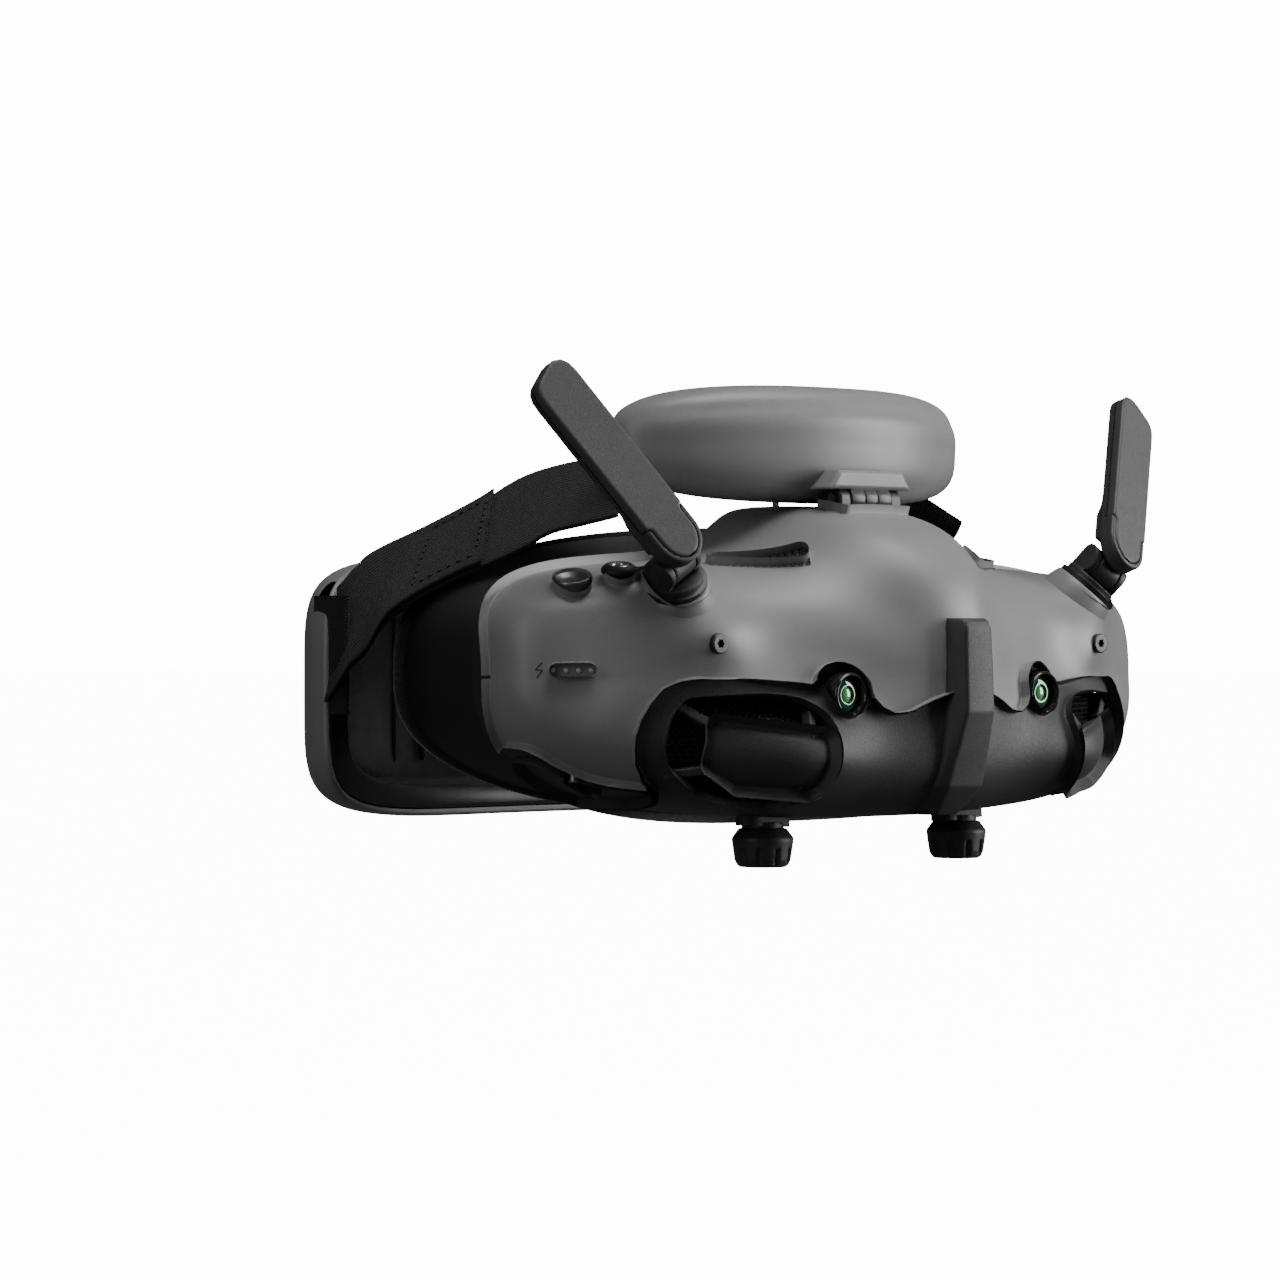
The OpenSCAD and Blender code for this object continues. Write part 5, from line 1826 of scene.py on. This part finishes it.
def dome(turn_steps: int, shares: np.ndarray, z0: float, half: float, up: float, n: float,
         y0: float, bend: float, deep: float) -> Points:
    """Rows of points on a shallow dome bent round the head, by the frame's own rule.

    Args:
        turn_steps: the number of points in a row.
        shares: one share from the middle, 0, to the rim, 1, for each row.
        z0: the height of its middle.
        half: half of its width.
        up: half of its height.
        n: how square its outline is.
        y0: the Y of the rim's middle.
        bend: how far the rim's ends lie behind its middle.
        deep: how far it bulges along Y.

    Returns:
        rows x steps x 3 coordinates.
    """
    angle = np.arange(turn_steps) * 2 * math.pi / turn_steps
    x0, z = rounded_outline(angle, half, up, up, n, n)
    rows = []
    for g in shares:
        x = x0 * g
        w = max(0.0, 1 - g ** 3) ** (1 / 3)
        rows.append(np.stack([x, y0 + bend * (x / half) ** 2 + deep * w, z0 + z * g], 1))
    return np.array(rows)


def shares_to(end: float, count: int) -> np.ndarray:
    """Shares from the middle to the rim, closer together near the rim."""
    return np.sin(np.arange(1, count + 1) * math.pi / 2 / count) ** 0.75 * end


@dataclass
class Headband:
    """The hinged forehead support: a moulded shell, its hinge and a padded rear face."""

    half: float = 54.0
    height: float = 13.5
    z0: float = 45.0
    y0: float = -61.0
    bend: float = 13.0
    deep: float = -13.0
    hinge: tuple[float, float] = (-75.0, 32.2)

    def crease(self, p: Points) -> Points:
        """Draws a soft fold along the upper edge and a flat over the hinge."""
        made = p.copy()
        x, z = p[..., 0], p[..., 2]
        line = self.z0 + 7.4 - 2.6 * (x / self.half) ** 2
        made[..., 1] += 0.4 * np.exp(-((z - line - 1.0) / 2.0) ** 2) \
            - 0.2 * np.exp(-((z - line + 2.6) / 3.0) ** 2)
        return made

    def shell(self) -> bpy.types.Object:
        """The light grey shell with a rolled rim and a shallow inside."""
        front = self.crease(dome(256, shares_to(1.0, 44), self.z0, self.half, self.height, 3.2,
                                 self.y0, self.bend, self.deep))
        rows = [front]
        for draw, back in ((0.15, 0.45), (0.5, 0.8), (0.95, 0.8), (1.3, 0.4), (1.4, -1.0)):
            rows.append(dome(256, np.array([1.0]), self.z0, self.half - draw, self.height - draw,
                             3.2, self.y0 + back, self.bend, 0.0))
        inner = dome(256, shares_to(1.0, 16)[::-1][1:], self.z0, self.half - 1.4,
                     self.height - 1.4, 3.2, self.y0 - 1.0, self.bend, self.deep + 3.0)
        rows.append(inner)
        grid = np.concatenate(rows)
        body = Surface.grid(grid, wrap=True)
        n = len(body.points)
        body = body.capped(list(range(256)), grid[0].mean(0), flip=True)
        body = body.capped(list(range(n - 256, n)), grid[-1].mean(0))
        return body.piece("forehead_cover", SHELL_GREY, 60)

    def cap(self) -> Surface:
        """The trapezoid hood over the hinge, with its barrel of three segments."""
        y, z = self.hinge
        hood = plate([[-13.5, z + 2.2], [13.5, z + 2.2], [10.4, z + 6.6], [-10.4, z + 6.6]],
                     y - 2.8, y + 9.5, 1.0, 1)
        arm = block((6.1, 3.4, 2.6), (0, y + 1.5, z + 2.6), 0.6)
        return moulded(hood.joined(arm, 0.8), (-14, y - 3, z - 1), (14, y + 10, z + 7), 0.4)

    def barrel(self) -> Surface:
        """The hinge barrel between the bracket's ears."""
        y, z = self.hinge
        profile = eased([(1.25, -6.4), (3.0, -6.4), (3.0, -2.3), (2.8, -2.15), (2.8, -1.95),
                         (3.0, -1.8), (3.0, 1.8), (2.8, 1.95), (2.8, 2.15), (3.0, 2.3),
                         (3.0, 6.4), (1.25, 6.4)], 0.12, 2)
        return hooped(profile, 72).at(shift(0, y, z) @ turn("Y", 90))

    def bracket(self) -> Surface:
        """The dark foot and its two ears on the visor."""
        y, z = self.hinge
        foot = block((10, 3.6, 1.7), (0, y, z - 5.2), 0.5)
        ears: Solid | None = None
        for x in (-8.2, 8.2):
            ear = rod(2.6, x - 1.7, x + 1.7, 0.35, 0, (0, y, z)) \
                | block((1.7, 2.6, 2.3), (x, y, z - 2.3), 0.3)
            ears = ear if ears is None else ears | ear
        return moulded(foot.joined(ears, 0.8), (-10.2, y - 4, z - 7), (10.2, y + 4, z + 2.8), 0.32)

    def pad(self) -> bpy.types.Object:
        """The soft pad on the rear face, swelled by a short cloth run."""
        front = dome(120, shares_to(1.0, 12), self.z0, self.half - 1.9, self.height - 1.9, 3.2,
                     self.y0 + 1.6, self.bend, -1.5)
        rear = dome(120, shares_to(1.0, 14)[::-1], self.z0, self.half - 1.9, self.height - 1.9,
                    3.2, self.y0 + 2.2, self.bend, 7.0)
        grid = np.concatenate([front, rear])
        body = Surface.grid(grid, wrap=True)
        n = len(body.points)
        body = body.capped(list(range(120)), grid[0].mean(0), flip=True)
        body = body.capped(list(range(n - 120, n)), grid[-1].mean(0))
        piece = body.piece("forehead_cushion", FOAM, 180)
        tidy(piece)
        swell(piece, cap=1.2)
        return piece

    def build(self) -> None:
        """Makes the whole forehead support."""
        report(self.shell(), "headband", "light_grey_plastic", "forehead_shell")
        report(self.cap().piece("hinge_hood", SHELL_GREY, 60), "headband", "light_grey_plastic")
        report(self.barrel().piece("hinge_barrel", HINGE_GREY, 40), "headband",
               "light_grey_plastic")
        report(self.bracket().piece("hinge_ears", SOCKET_BLACK, 50), "visor", "black_plastic",
               "hinge_bracket")
        dress(STEEL, "hinge_pin")
        pad = self.pad()
        report(pad, "headband", "foam", "forehead_pad")


def swell(piece: bpy.types.Object, cap: float) -> None:
    """Fills a pad by a short cloth run and smooths it.

    Args:
        piece: the pad, a little smaller than it should end.
        cap: the furthest a point may move, in millimetres.
    """
    remesh = piece.modifiers.new("remesh", "REMESH")
    remesh.mode, remesh.voxel_size = "VOXEL", 0.004
    freeze(piece)
    before = np.array([v.co for v in piece.data.vertices])
    cloth = piece.modifiers.new("cloth", "CLOTH")
    cloth.settings.use_pressure = True
    cloth.settings.uniform_pressure_force = 4.0
    cloth.settings.effector_weights.gravity = 0.0
    cloth.settings.quality = 6
    cloth.settings.tension_stiffness = 30
    cloth.point_cache.frame_start, cloth.point_cache.frame_end = 1, 20
    scene = bpy.context.scene
    for step in range(1, 21):
        scene.frame_set(step)
    freeze(piece)
    after = np.array([v.co for v in piece.data.vertices])
    way = after - before
    length = np.linalg.norm(way, axis=1, keepdims=True)
    limit = cap * MM
    LOG.info("%s: cloth moved it by up to %.2f mm, %.2f mm on average", piece.name,
             float(length.max()) / MM, float(length.mean()) / MM)
    after = before + way * np.minimum(1, limit / np.maximum(length, 1e-9))
    piece.data.vertices.foreach_set("co", after.ravel())
    piece.modifiers.new("finer", "SUBSURF").levels = 1
    piece.modifiers["finer"].render_levels = 1
    freeze(piece)
    piece.data.polygons.foreach_set("use_smooth", [True] * len(piece.data.polygons))
    piece.data.update()


def freeze(piece: bpy.types.Object) -> None:
    """Turns a piece's modifiers into its mesh."""
    bpy.context.view_layer.update()
    graph = bpy.context.evaluated_depsgraph_get()
    mesh = bpy.data.meshes.new_from_object(piece.evaluated_get(graph))
    old = piece.data
    piece.modifiers.clear()
    piece.data = mesh
    mesh.name = piece.name
    bpy.data.meshes.remove(old)


@dataclass
class Straps:
    """The webbing on both sides: main strap, doubled end, box stitching and the pod's loop."""

    width: float = 27.0
    thick: float = 1.4
    stations: tuple[tuple[float, float, float, float], ...] = (
        (-48, -46, 35.5, 57), (-54, -39.4, 33.6, 55), (-60, -32, 31, 53), (-70, -22, 24, 51),
        (-81, -5, 13.3, 47), (-87.6, 1.6, 5, 34), (-90.2, 5, -1, 14), (-90.8, 8.4, -4, 0))

    def path(self, count: int) -> tuple[Points, Points, Points, np.ndarray]:
        """A smooth path with its upward and outward directions and its lengths.

        Args:
            count: the number of places on it.

        Returns:
            The middle, the direction across, the outward direction and the length so far.
        """
        s = np.array(self.stations, float)
        s = np.vstack([2 * s[0] - s[1], s, 2 * s[-1] - s[-2]])
        t = np.linspace(0, len(self.stations) - 1.0001, count)
        k = t.astype(int)
        f = (t - k)[:, None]
        p0, p1, p2, p3 = s[k], s[k + 1], s[k + 2], s[k + 3]
        c = 0.5 * (2 * p1 + (p2 - p0) * f + (2 * p0 - 5 * p1 + 4 * p2 - p3) * f ** 2
                   + (3 * p1 - p0 - 3 * p2 + p3) * f ** 3)
        run = np.gradient(c[:, :2], axis=0)
        run /= np.linalg.norm(run, axis=1, keepdims=True)
        inward = np.stack([run[:, 1], -run[:, 0], np.zeros(count)], 1)
        lean = np.radians(c[:, 3])[:, None]
        up = inward * np.sin(lean) + np.array([0, 0, 1.0]) * np.cos(lean)
        out = -inward * np.cos(lean) + np.array([0, 0, 1.0]) * np.sin(lean)
        middle = c[:, :3]
        along = np.concatenate([[0], np.cumsum(np.linalg.norm(np.diff(middle, axis=0), axis=1))])
        return middle, up, out, along

    def ribbon(self, start: float, end: float, lift: float, thick: float, width: float,
               count: int = 160) -> tuple[Surface, np.ndarray]:
        """A stretch of webbing with rolled selvedges, and its UV in millimetres.

        Args:
            start: where it starts along the path.
            end: where it ends.
            lift: how far its middle lies outside the path.
            thick: its thickness.
            width: its width.
            count: the number of rows.

        Returns:
            The surface and the UV of each of its points.
        """
        middle, up, out, along = self.path(700)
        s = np.linspace(start, end, count)
        pick = [np.stack([np.interp(s, along, a[:, i]) for i in range(3)], 1)
                for a in (middle, up, out)]
        ring = []
        for a in np.linspace(-1, 1, 15):
            ring.append((a * (width / 2 - thick * 0.4), thick / 2))
        for a in np.linspace(60, -60, 5):
            ring.append((width / 2 - thick * 0.4 + math.cos(math.radians(a)) * thick * 0.55,
                         math.sin(math.radians(a)) * thick * 0.55))
        for a in np.linspace(1, -1, 15):
            ring.append((a * (width / 2 - thick * 0.4), -thick / 2))
        for a in np.linspace(240, 120, 5):
            ring.append((-width / 2 + thick * 0.4 + math.cos(math.radians(a)) * thick * 0.55,
                         math.sin(math.radians(a)) * thick * 0.55))
        ring_array = np.array(ring)
        points = (pick[0][:, None, :] + pick[1][:, None, :] * ring_array[None, :, :1]
                  + pick[2][:, None, :] * (ring_array[None, :, 1:] + lift))
        body = Surface.grid(points, wrap=True)
        n, m = len(body.points), len(ring)
        faces = body.faces + [list(range(m))[::-1], list(range(n - m, n))]
        uv = np.stack([np.repeat(s, m), np.tile(ring_array[:, 0] + 40, count)], 1)
        return Surface(body.points, faces), uv

    def stitched(self, start: float, end: float, lift: float) -> tuple[Points, Points, Points]:
        """Where the stitches of one sewn box lie, with their outward and running directions."""
        middle, up, out, along = self.path(700)
        half = self.width / 2 - 3.2
        corners = [(start, -half), (end, -half), (end, half), (start, half), (start, -half)]
        marks = []
        for (s0, w0), (s1, w1) in zip(corners, corners[1:]):
            length = math.hypot(s1 - s0, w1 - w0)
            for k in range(int(length / 2.3)):
                t = (k + 0.5) * 2.3 / length
                marks.append((s0 + (s1 - s0) * t, w0 + (w1 - w0) * t, s1 != s0))
        spots, outward, forward = [], [], []
        for s, w, runs in marks:
            at = [np.array([np.interp(s, along, a[:, i]) for i in range(3)])
                  for a in (middle, up, out)]
            ahead = np.array([np.interp(s + 1, along, middle[:, i]) for i in range(3)]) - at[0]
            spots.append(at[0] + at[1] * w + at[2] * lift)
            outward.append(at[2])
            forward.append(ahead if runs else at[1])
        return np.array(spots), np.array(outward), np.array(forward)

    def loop(self) -> tuple[Surface, np.ndarray]:
        """The strap's end folded through the pod's slot, and its UV."""
        z, half = -3.4, self.width / 2
        track = [(-90.4, 9.0), (-90.6, 3.5), (-91.2, 0.4), (-92.2, -0.6), (-93.2, 0.6),
                 (-93.4, 4.2), (-92.9, 9.0)]
        path = np.array(track)
        t = np.linspace(0, len(path) - 1, 60)
        smooth = np.stack([np.interp(t, np.arange(len(path)), path[:, i]) for i in (0, 1)], 1)
        for _ in range(6):
            smooth[1:-1] = (smooth[:-2] + 2 * smooth[1:-1] + smooth[2:]) / 4
        run = np.gradient(smooth, axis=0)
        run /= np.linalg.norm(run, axis=1, keepdims=True)
        side = np.stack([run[:, 1], -run[:, 0]], 1)
        thick = 0.7
        ring = [(w, thick) for w in np.linspace(-half, half, 13)] \
            + [(w, -thick) for w in np.linspace(half, -half, 13)]
        points = np.array([[(c[0] + n[0] * h, c[1] + n[1] * h, z + w) for w, h in ring]
                           for c, n in zip(smooth, side)])
        body = Surface.grid(points, wrap=True)
        count, m = len(body.points), len(ring)
        faces = body.faces + [list(range(m))[::-1], list(range(count - m, count))]
        length = np.concatenate([[0], np.cumsum(np.linalg.norm(np.diff(smooth, axis=0), axis=1))])
        uv = np.stack([np.repeat(length, m), np.tile([w + 40 for w, _ in ring], len(length))], 1)
        return Surface(body.points, faces), uv

    def build(self, repeater: Repeater) -> None:
        """Makes the straps of both sides."""
        total = float(self.path(700)[3][-1])
        main = self.ribbon(0.5, total - 1.0, 0.0, self.thick, self.width)
        outer = self.ribbon(33.0, total - 4.0, 1.5, 1.5, self.width, 120)
        stitch = moulded(rod(0.24, -0.75, 0.75, 0.2, 0), (-1, -0.3, -0.3), (1, 0.3, 0.3), 0.12)
        boxes = [self.stitched(34.5, 50.0, 2.42)]
        loop = self.loop()
        for side in Side:
            tag = side.tag
            for name, (surface, uv), finish in ((f"strap_inner_{tag}", main, WEBBING_LONG),
                                                (f"strap_outer_{tag}", outer, WEBBING)):
                piece = with_uv(surface.at(side.place).piece(name, finish, 60), uv)
                tidy_normals(piece)
                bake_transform(piece)
                if "inner" in name:
                    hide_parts(f"strap_{tag}")
            spots, outward, forward = (np.concatenate([b[i] for b in boxes]) for i in range(3))
            sign = np.array([side.place[0, 0], 1, 1])
            sewn = repeater.piece(f"strap_stitches_{tag}", stitch, THREAD, spots * sign,
                                  outward * sign, forward * sign)
            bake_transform(sewn)
            fold = with_uv(loop[0].at(side.place).piece(f"strap_loop_{tag}", WEBBING_TWILL, 60),
                           loop[1])
            tidy_normals(fold)
            report(fold, "rear_pod", "webbing")


def with_uv(piece: bpy.types.Object, uv: np.ndarray) -> bpy.types.Object:
    """Gives a piece a UV map from one pair of numbers per point."""
    layer = piece.data.uv_layers.new(name="UVMap")
    corner = np.empty(len(piece.data.loops), int)
    piece.data.loops.foreach_get("vertex_index", corner)
    layer.data.foreach_set("uv", uv[corner].astype(np.float32).ravel())
    return piece


def tidy_normals(piece: bpy.types.Object) -> None:
    """Turns a closed piece's faces outwards."""
    mesh = bmesh.new()
    mesh.from_mesh(piece.data)
    bmesh.ops.recalc_face_normals(mesh, faces=mesh.faces)
    mesh.to_mesh(piece.data)
    mesh.free()


@dataclass
class RearPod:
    """The battery pod behind the head: light shell, black tray, cells and power key."""

    half: float = 95.0
    height: float = 31.0
    z0: float = -11.0
    y0: float = 28.0
    bend: float = -24.0
    deep: float = 20.0

    def slots(self) -> Solid:
        """The two slots for the straps."""
        return block((3.0, 8.5, 16.8), (90.4, 1, -3.4), 0.8).both_sides()

    def shell(self) -> bpy.types.Object:
        """The light shell with a rolled bright rim."""
        outer = dome(360, shares_to(1.0, 60), self.z0, self.half, self.height, 5, self.y0,
                     self.bend, self.deep)
        body = Surface.grid(outer[::-1], wrap=True)
        n = len(body.points)
        body = body.capped(list(range(n - 360, n)), outer[0].mean(0))
        slot = block((3.0, 8.5, 16.8), (90.4, 1, -3.4), 0.8).both_sides()(body.points)
        key = np.hypot(body.points[:, 0] - 40, body.points[:, 1] - 33.2) - 3.7
        key[body.points[:, 2] < 0] = 9
        trimmed, _ = body.trimmed(-np.minimum(slot, key) + 0.02)
        return trimmed.piece("pod_cover", POD_GREY, 60)

    def rim(self) -> Surface:
        """The rolled rim of the shell and its inner wall."""
        rows = []
        for draw, back in ((0.0, 0.0), (0.12, -0.4), (0.45, -0.72), (0.9, -0.8), (1.35, -0.6),
                           (1.6, -0.1), (1.7, 1.2)):
            rows.append(dome(360, np.array([1.0]), self.z0, self.half - draw, self.height - draw,
                             5, self.y0 + back, self.bend, 0.0)[0])
        return Surface.grid(np.array(rows), wrap=True)

    def tray(self) -> Surface:
        """The black tray: ledge, step and a ribbed pocket against the cells."""
        rows = []
        for draw, back in ((1.5, 1.4), (1.9, 0.2), (2.3, -0.1), (3.0, -0.2), (6.6, -0.5),
                           (7.4, -0.1), (7.9, 1.6)):
            rows.append(dome(360, np.array([1.0]), self.z0, self.half - draw, self.height - draw,
                             5, self.y0 + back, self.bend, 0.0)[0])
        for g in shares_to(1.0, 14)[::-1][1:]:
            rows.append(dome(360, np.array([g]), self.z0, self.half - 8.1, self.height - 8.1, 5,
                             self.y0 + 1.8, self.bend, 2.6)[0])
        body = Surface.grid(np.array(rows), wrap=True)
        n = len(body.points)
        return body.capped(list(range(n - 360, n)), rows[-1].mean(0))

    def ribs(self) -> tuple[Points, Points, Points]:
        """Where the tray's stiffening ribs stand, with their directions."""
        spots, out, ahead = [], [], []
        for x in np.linspace(-72, 72, 13):
            for z in (-11.0,):
                y = self.y0 + 2.0 + self.bend * (x / self.half) ** 2
                slope = 2 * self.bend * x / self.half ** 2
                spots.append((x, y + 0.4, z))
                out.append((slope, -1.0, 0.0))
                ahead.append((0.0, 0.0, 1.0))
        return np.array(spots), np.array(out), np.array(ahead)

    def build(self, repeater: Repeater) -> None:
        """Makes the whole pod."""
        report(self.shell(), "rear_pod", "light_grey_plastic", "rear_pod_shell")
        report(self.rim().piece("pod_rim", POD_GREY, 60), "rear_pod", "light_grey_plastic")
        report(self.tray().piece("pod_tray", TRAY_BLACK, 50), "rear_pod", "black_plastic",
               "rear_pod_tray")
        spots, out, ahead = self.ribs()
        rib = moulded(block((17.5, 0.55, 0.9), edge=0.4), (-17.6, -0.6, -1), (17.6, 0.6, 1), 0.3)
        report(repeater.piece("pod_tray_ribs", rib, TRAY_BLACK, spots, out, ahead), "rear_pod",
               "black_plastic")
        key = eased([(0, 10.9), (3.9, 10.9), (3.9, 12.5), (3.5, 12.5), (3.5, 18.0), (3.1, 18.4),
                     (0, 18.1)], 0.3, 3)
        report(lathed(key).at(shift(40, 33.2, 0)).piece("power_key_top", BUTTON_GREY, 50),
               "power_key", "dark_grey_plastic", "power_button")
        dress(CELL_WRAP, "battery_cells")


@dataclass
class FaceSeal:
    """The rubber light shield, its foam edge and the dark frame that they sit on."""

    eye_z: float = -8.0

    def point(self, angle: np.ndarray, draw: float, f: float, lift: float = 0.0) -> Points:
        """Points of the shield a share f of the way from the frame to the face."""
        r0x, r0z = FORM.rim(angle, 6.0)
        r1x, r1z = rounded_outline(angle, 84, 33, 32, 3.0, 2.6)
        x, z = r0x + (r1x - r0x) * f, r0z + (r1z - r0z) * f
        nose = np.where(np.sin(angle) < 0, -15 * f * np.exp(-(x / 13) ** 2), 0.0)
        m = np.hypot(x, z)
        face = -37 + 23 * (x / 80) ** 2
        return np.stack([x * (1 - draw / m), -49.6 + (face + 49.6) * f + lift,
                         self.eye_z + (z - nose) * (1 - draw / m)], 1)

    def ring(self, stations: Sequence[tuple[float, float, float]]) -> Surface:
        """A closed ring through (inset, share, lift) stations."""
        angle = np.arange(300) * 2 * math.pi / 300
        rows = [self.point(angle, *s) for s in stations]
        body = Surface.grid(np.array(rows + rows[:1]), wrap=True)
        n = len(rows) * 300
        return Surface(body.points[:n], [[i % n for i in f] for f in body.faces])

    def build(self) -> None:
        """Makes the seal."""
        outer = [(0.35, 0.0, 0.4), (0.0, 0.05, 0.4)] \
            + [(0.35 * math.sin(k / 9 * math.pi) ** 2 * (-2.0), k / 9, 0.4) for k in range(1, 9)] \
            + [(0.0, 0.985, 0.2), (0.5, 1.0, 0.0)]
        inner = [(1.7, 1.0, 0.0), (2.2, 0.97, 0.2)] + [(2.2, k / 6, 0.4) for k in range(5, 0, -1)] \
            + [(2.0, 0.0, 0.4)]
        shield = self.ring(outer + inner).piece("eye_shield", RUBBER, 50)
        tidy_normals(shield)
        report(shield, "visor", "black_rubber", "light_shield")
        edge = [(-1, 1.0, 0.3), (-1.3, 1.0, 1.8), (-0.7, 1.0, 3.3), (0.8, 1.0, 4.1),
                (2.6, 1.0, 4.3), (4.4, 1.0, 4.0), (5.8, 1.0, 3.1), (6.2, 1.0, 1.7),
                (6.0, 1.0, 0.3)]
        foam = self.ring(edge).piece("face_cushion", FOAM, 180)
        tidy_normals(foam)
        report(foam, "visor", "foam", "face_foam")
        dress(FRAME_BLACK, "rear_frame")


def build_inside() -> None:
    """Finishes the optics and the electronics, whose frame shapes are kept."""
    for tag in ("left", "right"):
        dress(SOCKET_BLACK, f"carriage_{tag}", f"focus_barrel_{tag}")
        dress(EYE_GLASS, f"eye_lens_{tag}")
        dress(SCREEN, f"display_{tag}")
    dress(STEEL, "slide_rails")
    dress(CIRCUIT, "mainboard")
    dress(ALUMINIUM, "heat_sink")
    dress(SOCKET_BLACK, "fan_frame", "fan_rotor")
    LOG.info("optics and electronics dressed")


# ------------------------------------------------------------------ stage

@dataclass
class Stage:
    """The pale floor, the soft studio lights and the camera."""

    floor_drop: float = 0.24
    lens: float = 130.47
    camera_at: tuple[float, float, float] = (-0.7687, -0.8134, 0.0)
    heading: float = -43.4
    ambient: float = 0.07
    lamps: tuple[tuple[Any, ...], ...] = (
        ("key", (1.0, -0.80, 0.22), (0.03, -0.06, 0.0), (0.45, 0.8), 15.0),
        ("top", (0.1, -0.35, 0.95), (0.0, -0.05, 0.0), (0.9, 0.5), 9.0),
        ("left", (-1.1, -0.2, 0.3), (-0.05, -0.05, 0.0), (0.3, 0.7), 2.0))

    def camera(self) -> None:
        """The camera, level with the front of the visor."""
        data = bpy.data.cameras.new("camera")
        data.lens, data.sensor_width = self.lens, 36.0
        data.clip_start, data.clip_end = 0.02, 50.0
        camera = bpy.data.objects.new("camera", data)
        camera.location = self.camera_at
        camera.rotation_euler = (math.radians(90), 0, math.radians(self.heading))
        bpy.context.scene.collection.objects.link(camera)
        bpy.context.scene.camera = camera

    def floor(self) -> None:
        """A wide pale floor, well below the goggles because they are worn, not stood."""
        mesh = bpy.data.meshes.new("floor")
        half, z = 30.0, -self.floor_drop
        mesh.from_pydata([(-half, -half, z), (half, -half, z), (half, half, z), (-half, half, z)],
                         [], [(0, 1, 2, 3)])
        mesh.materials.append(Glow("pale_floor", (1.0, 1.0, 1.0), 0.9, power=14.0).material())
        floor = bpy.data.objects.new("floor", mesh)
        # The floor is bright by itself, and leaves the shading of the goggles to the lights
        floor.visible_diffuse = floor.visible_glossy = floor.visible_transmission = False
        bpy.context.scene.collection.objects.link(floor)

    def light(self, name: str, at: Colour, to: Colour, size: tuple[float, float],
              power: float) -> None:
        """One soft rectangular light that looks at a point."""
        data = bpy.data.lights.new(name, "AREA")
        data.shape, data.size, data.size_y, data.energy = "RECTANGLE", size[0], size[1], power
        lamp = bpy.data.objects.new(name, data)
        lamp.location = at
        lamp.rotation_euler = (Vector(to) - Vector(at)).to_track_quat("-Z", "Y").to_euler()
        bpy.context.scene.collection.objects.link(lamp)

    def build(self) -> None:
        """Sets the whole stage."""
        self.camera()
        self.floor()
        world = bpy.data.worlds.new("studio")
        bpy.context.scene.world = world
        world.use_nodes = True
        graph = Graph(world.node_tree)
        seen = graph.node("ShaderNodeLightPath", out="Is Camera Ray")
        strength = seen.ramp(0.0, 1.0, self.ambient, 14.0)
        sky = graph.node("ShaderNodeBackground", None, {"Color": (1, 1, 1, 1),
                                                        "Strength": strength})
        graph.node("ShaderNodeOutputWorld", None, {"Surface": sky})
        for name, at, to, size, power in self.lamps:
            self.light(name, at, to, size, power)


def main() -> None:
    """Builds the stage and the goggles, piece by piece."""
    logging.basicConfig(level=logging.INFO, format="%(name)s: %(message)s")
    Stage().build()
    repeater = Repeater()
    shells = VisorShells()
    shells.build(repeater)
    Cameras().build()
    Fixings().build(repeater)
    Controls(shells).build(repeater)
    TopVents(shells).build()
    Antennas(shells).build()
    Dials().build()
    Headband().build()
    Straps().build(repeater)
    RearPod().build(repeater)
    FaceSeal().build()
    build_inside()


if __name__ == "__main__":
    main()
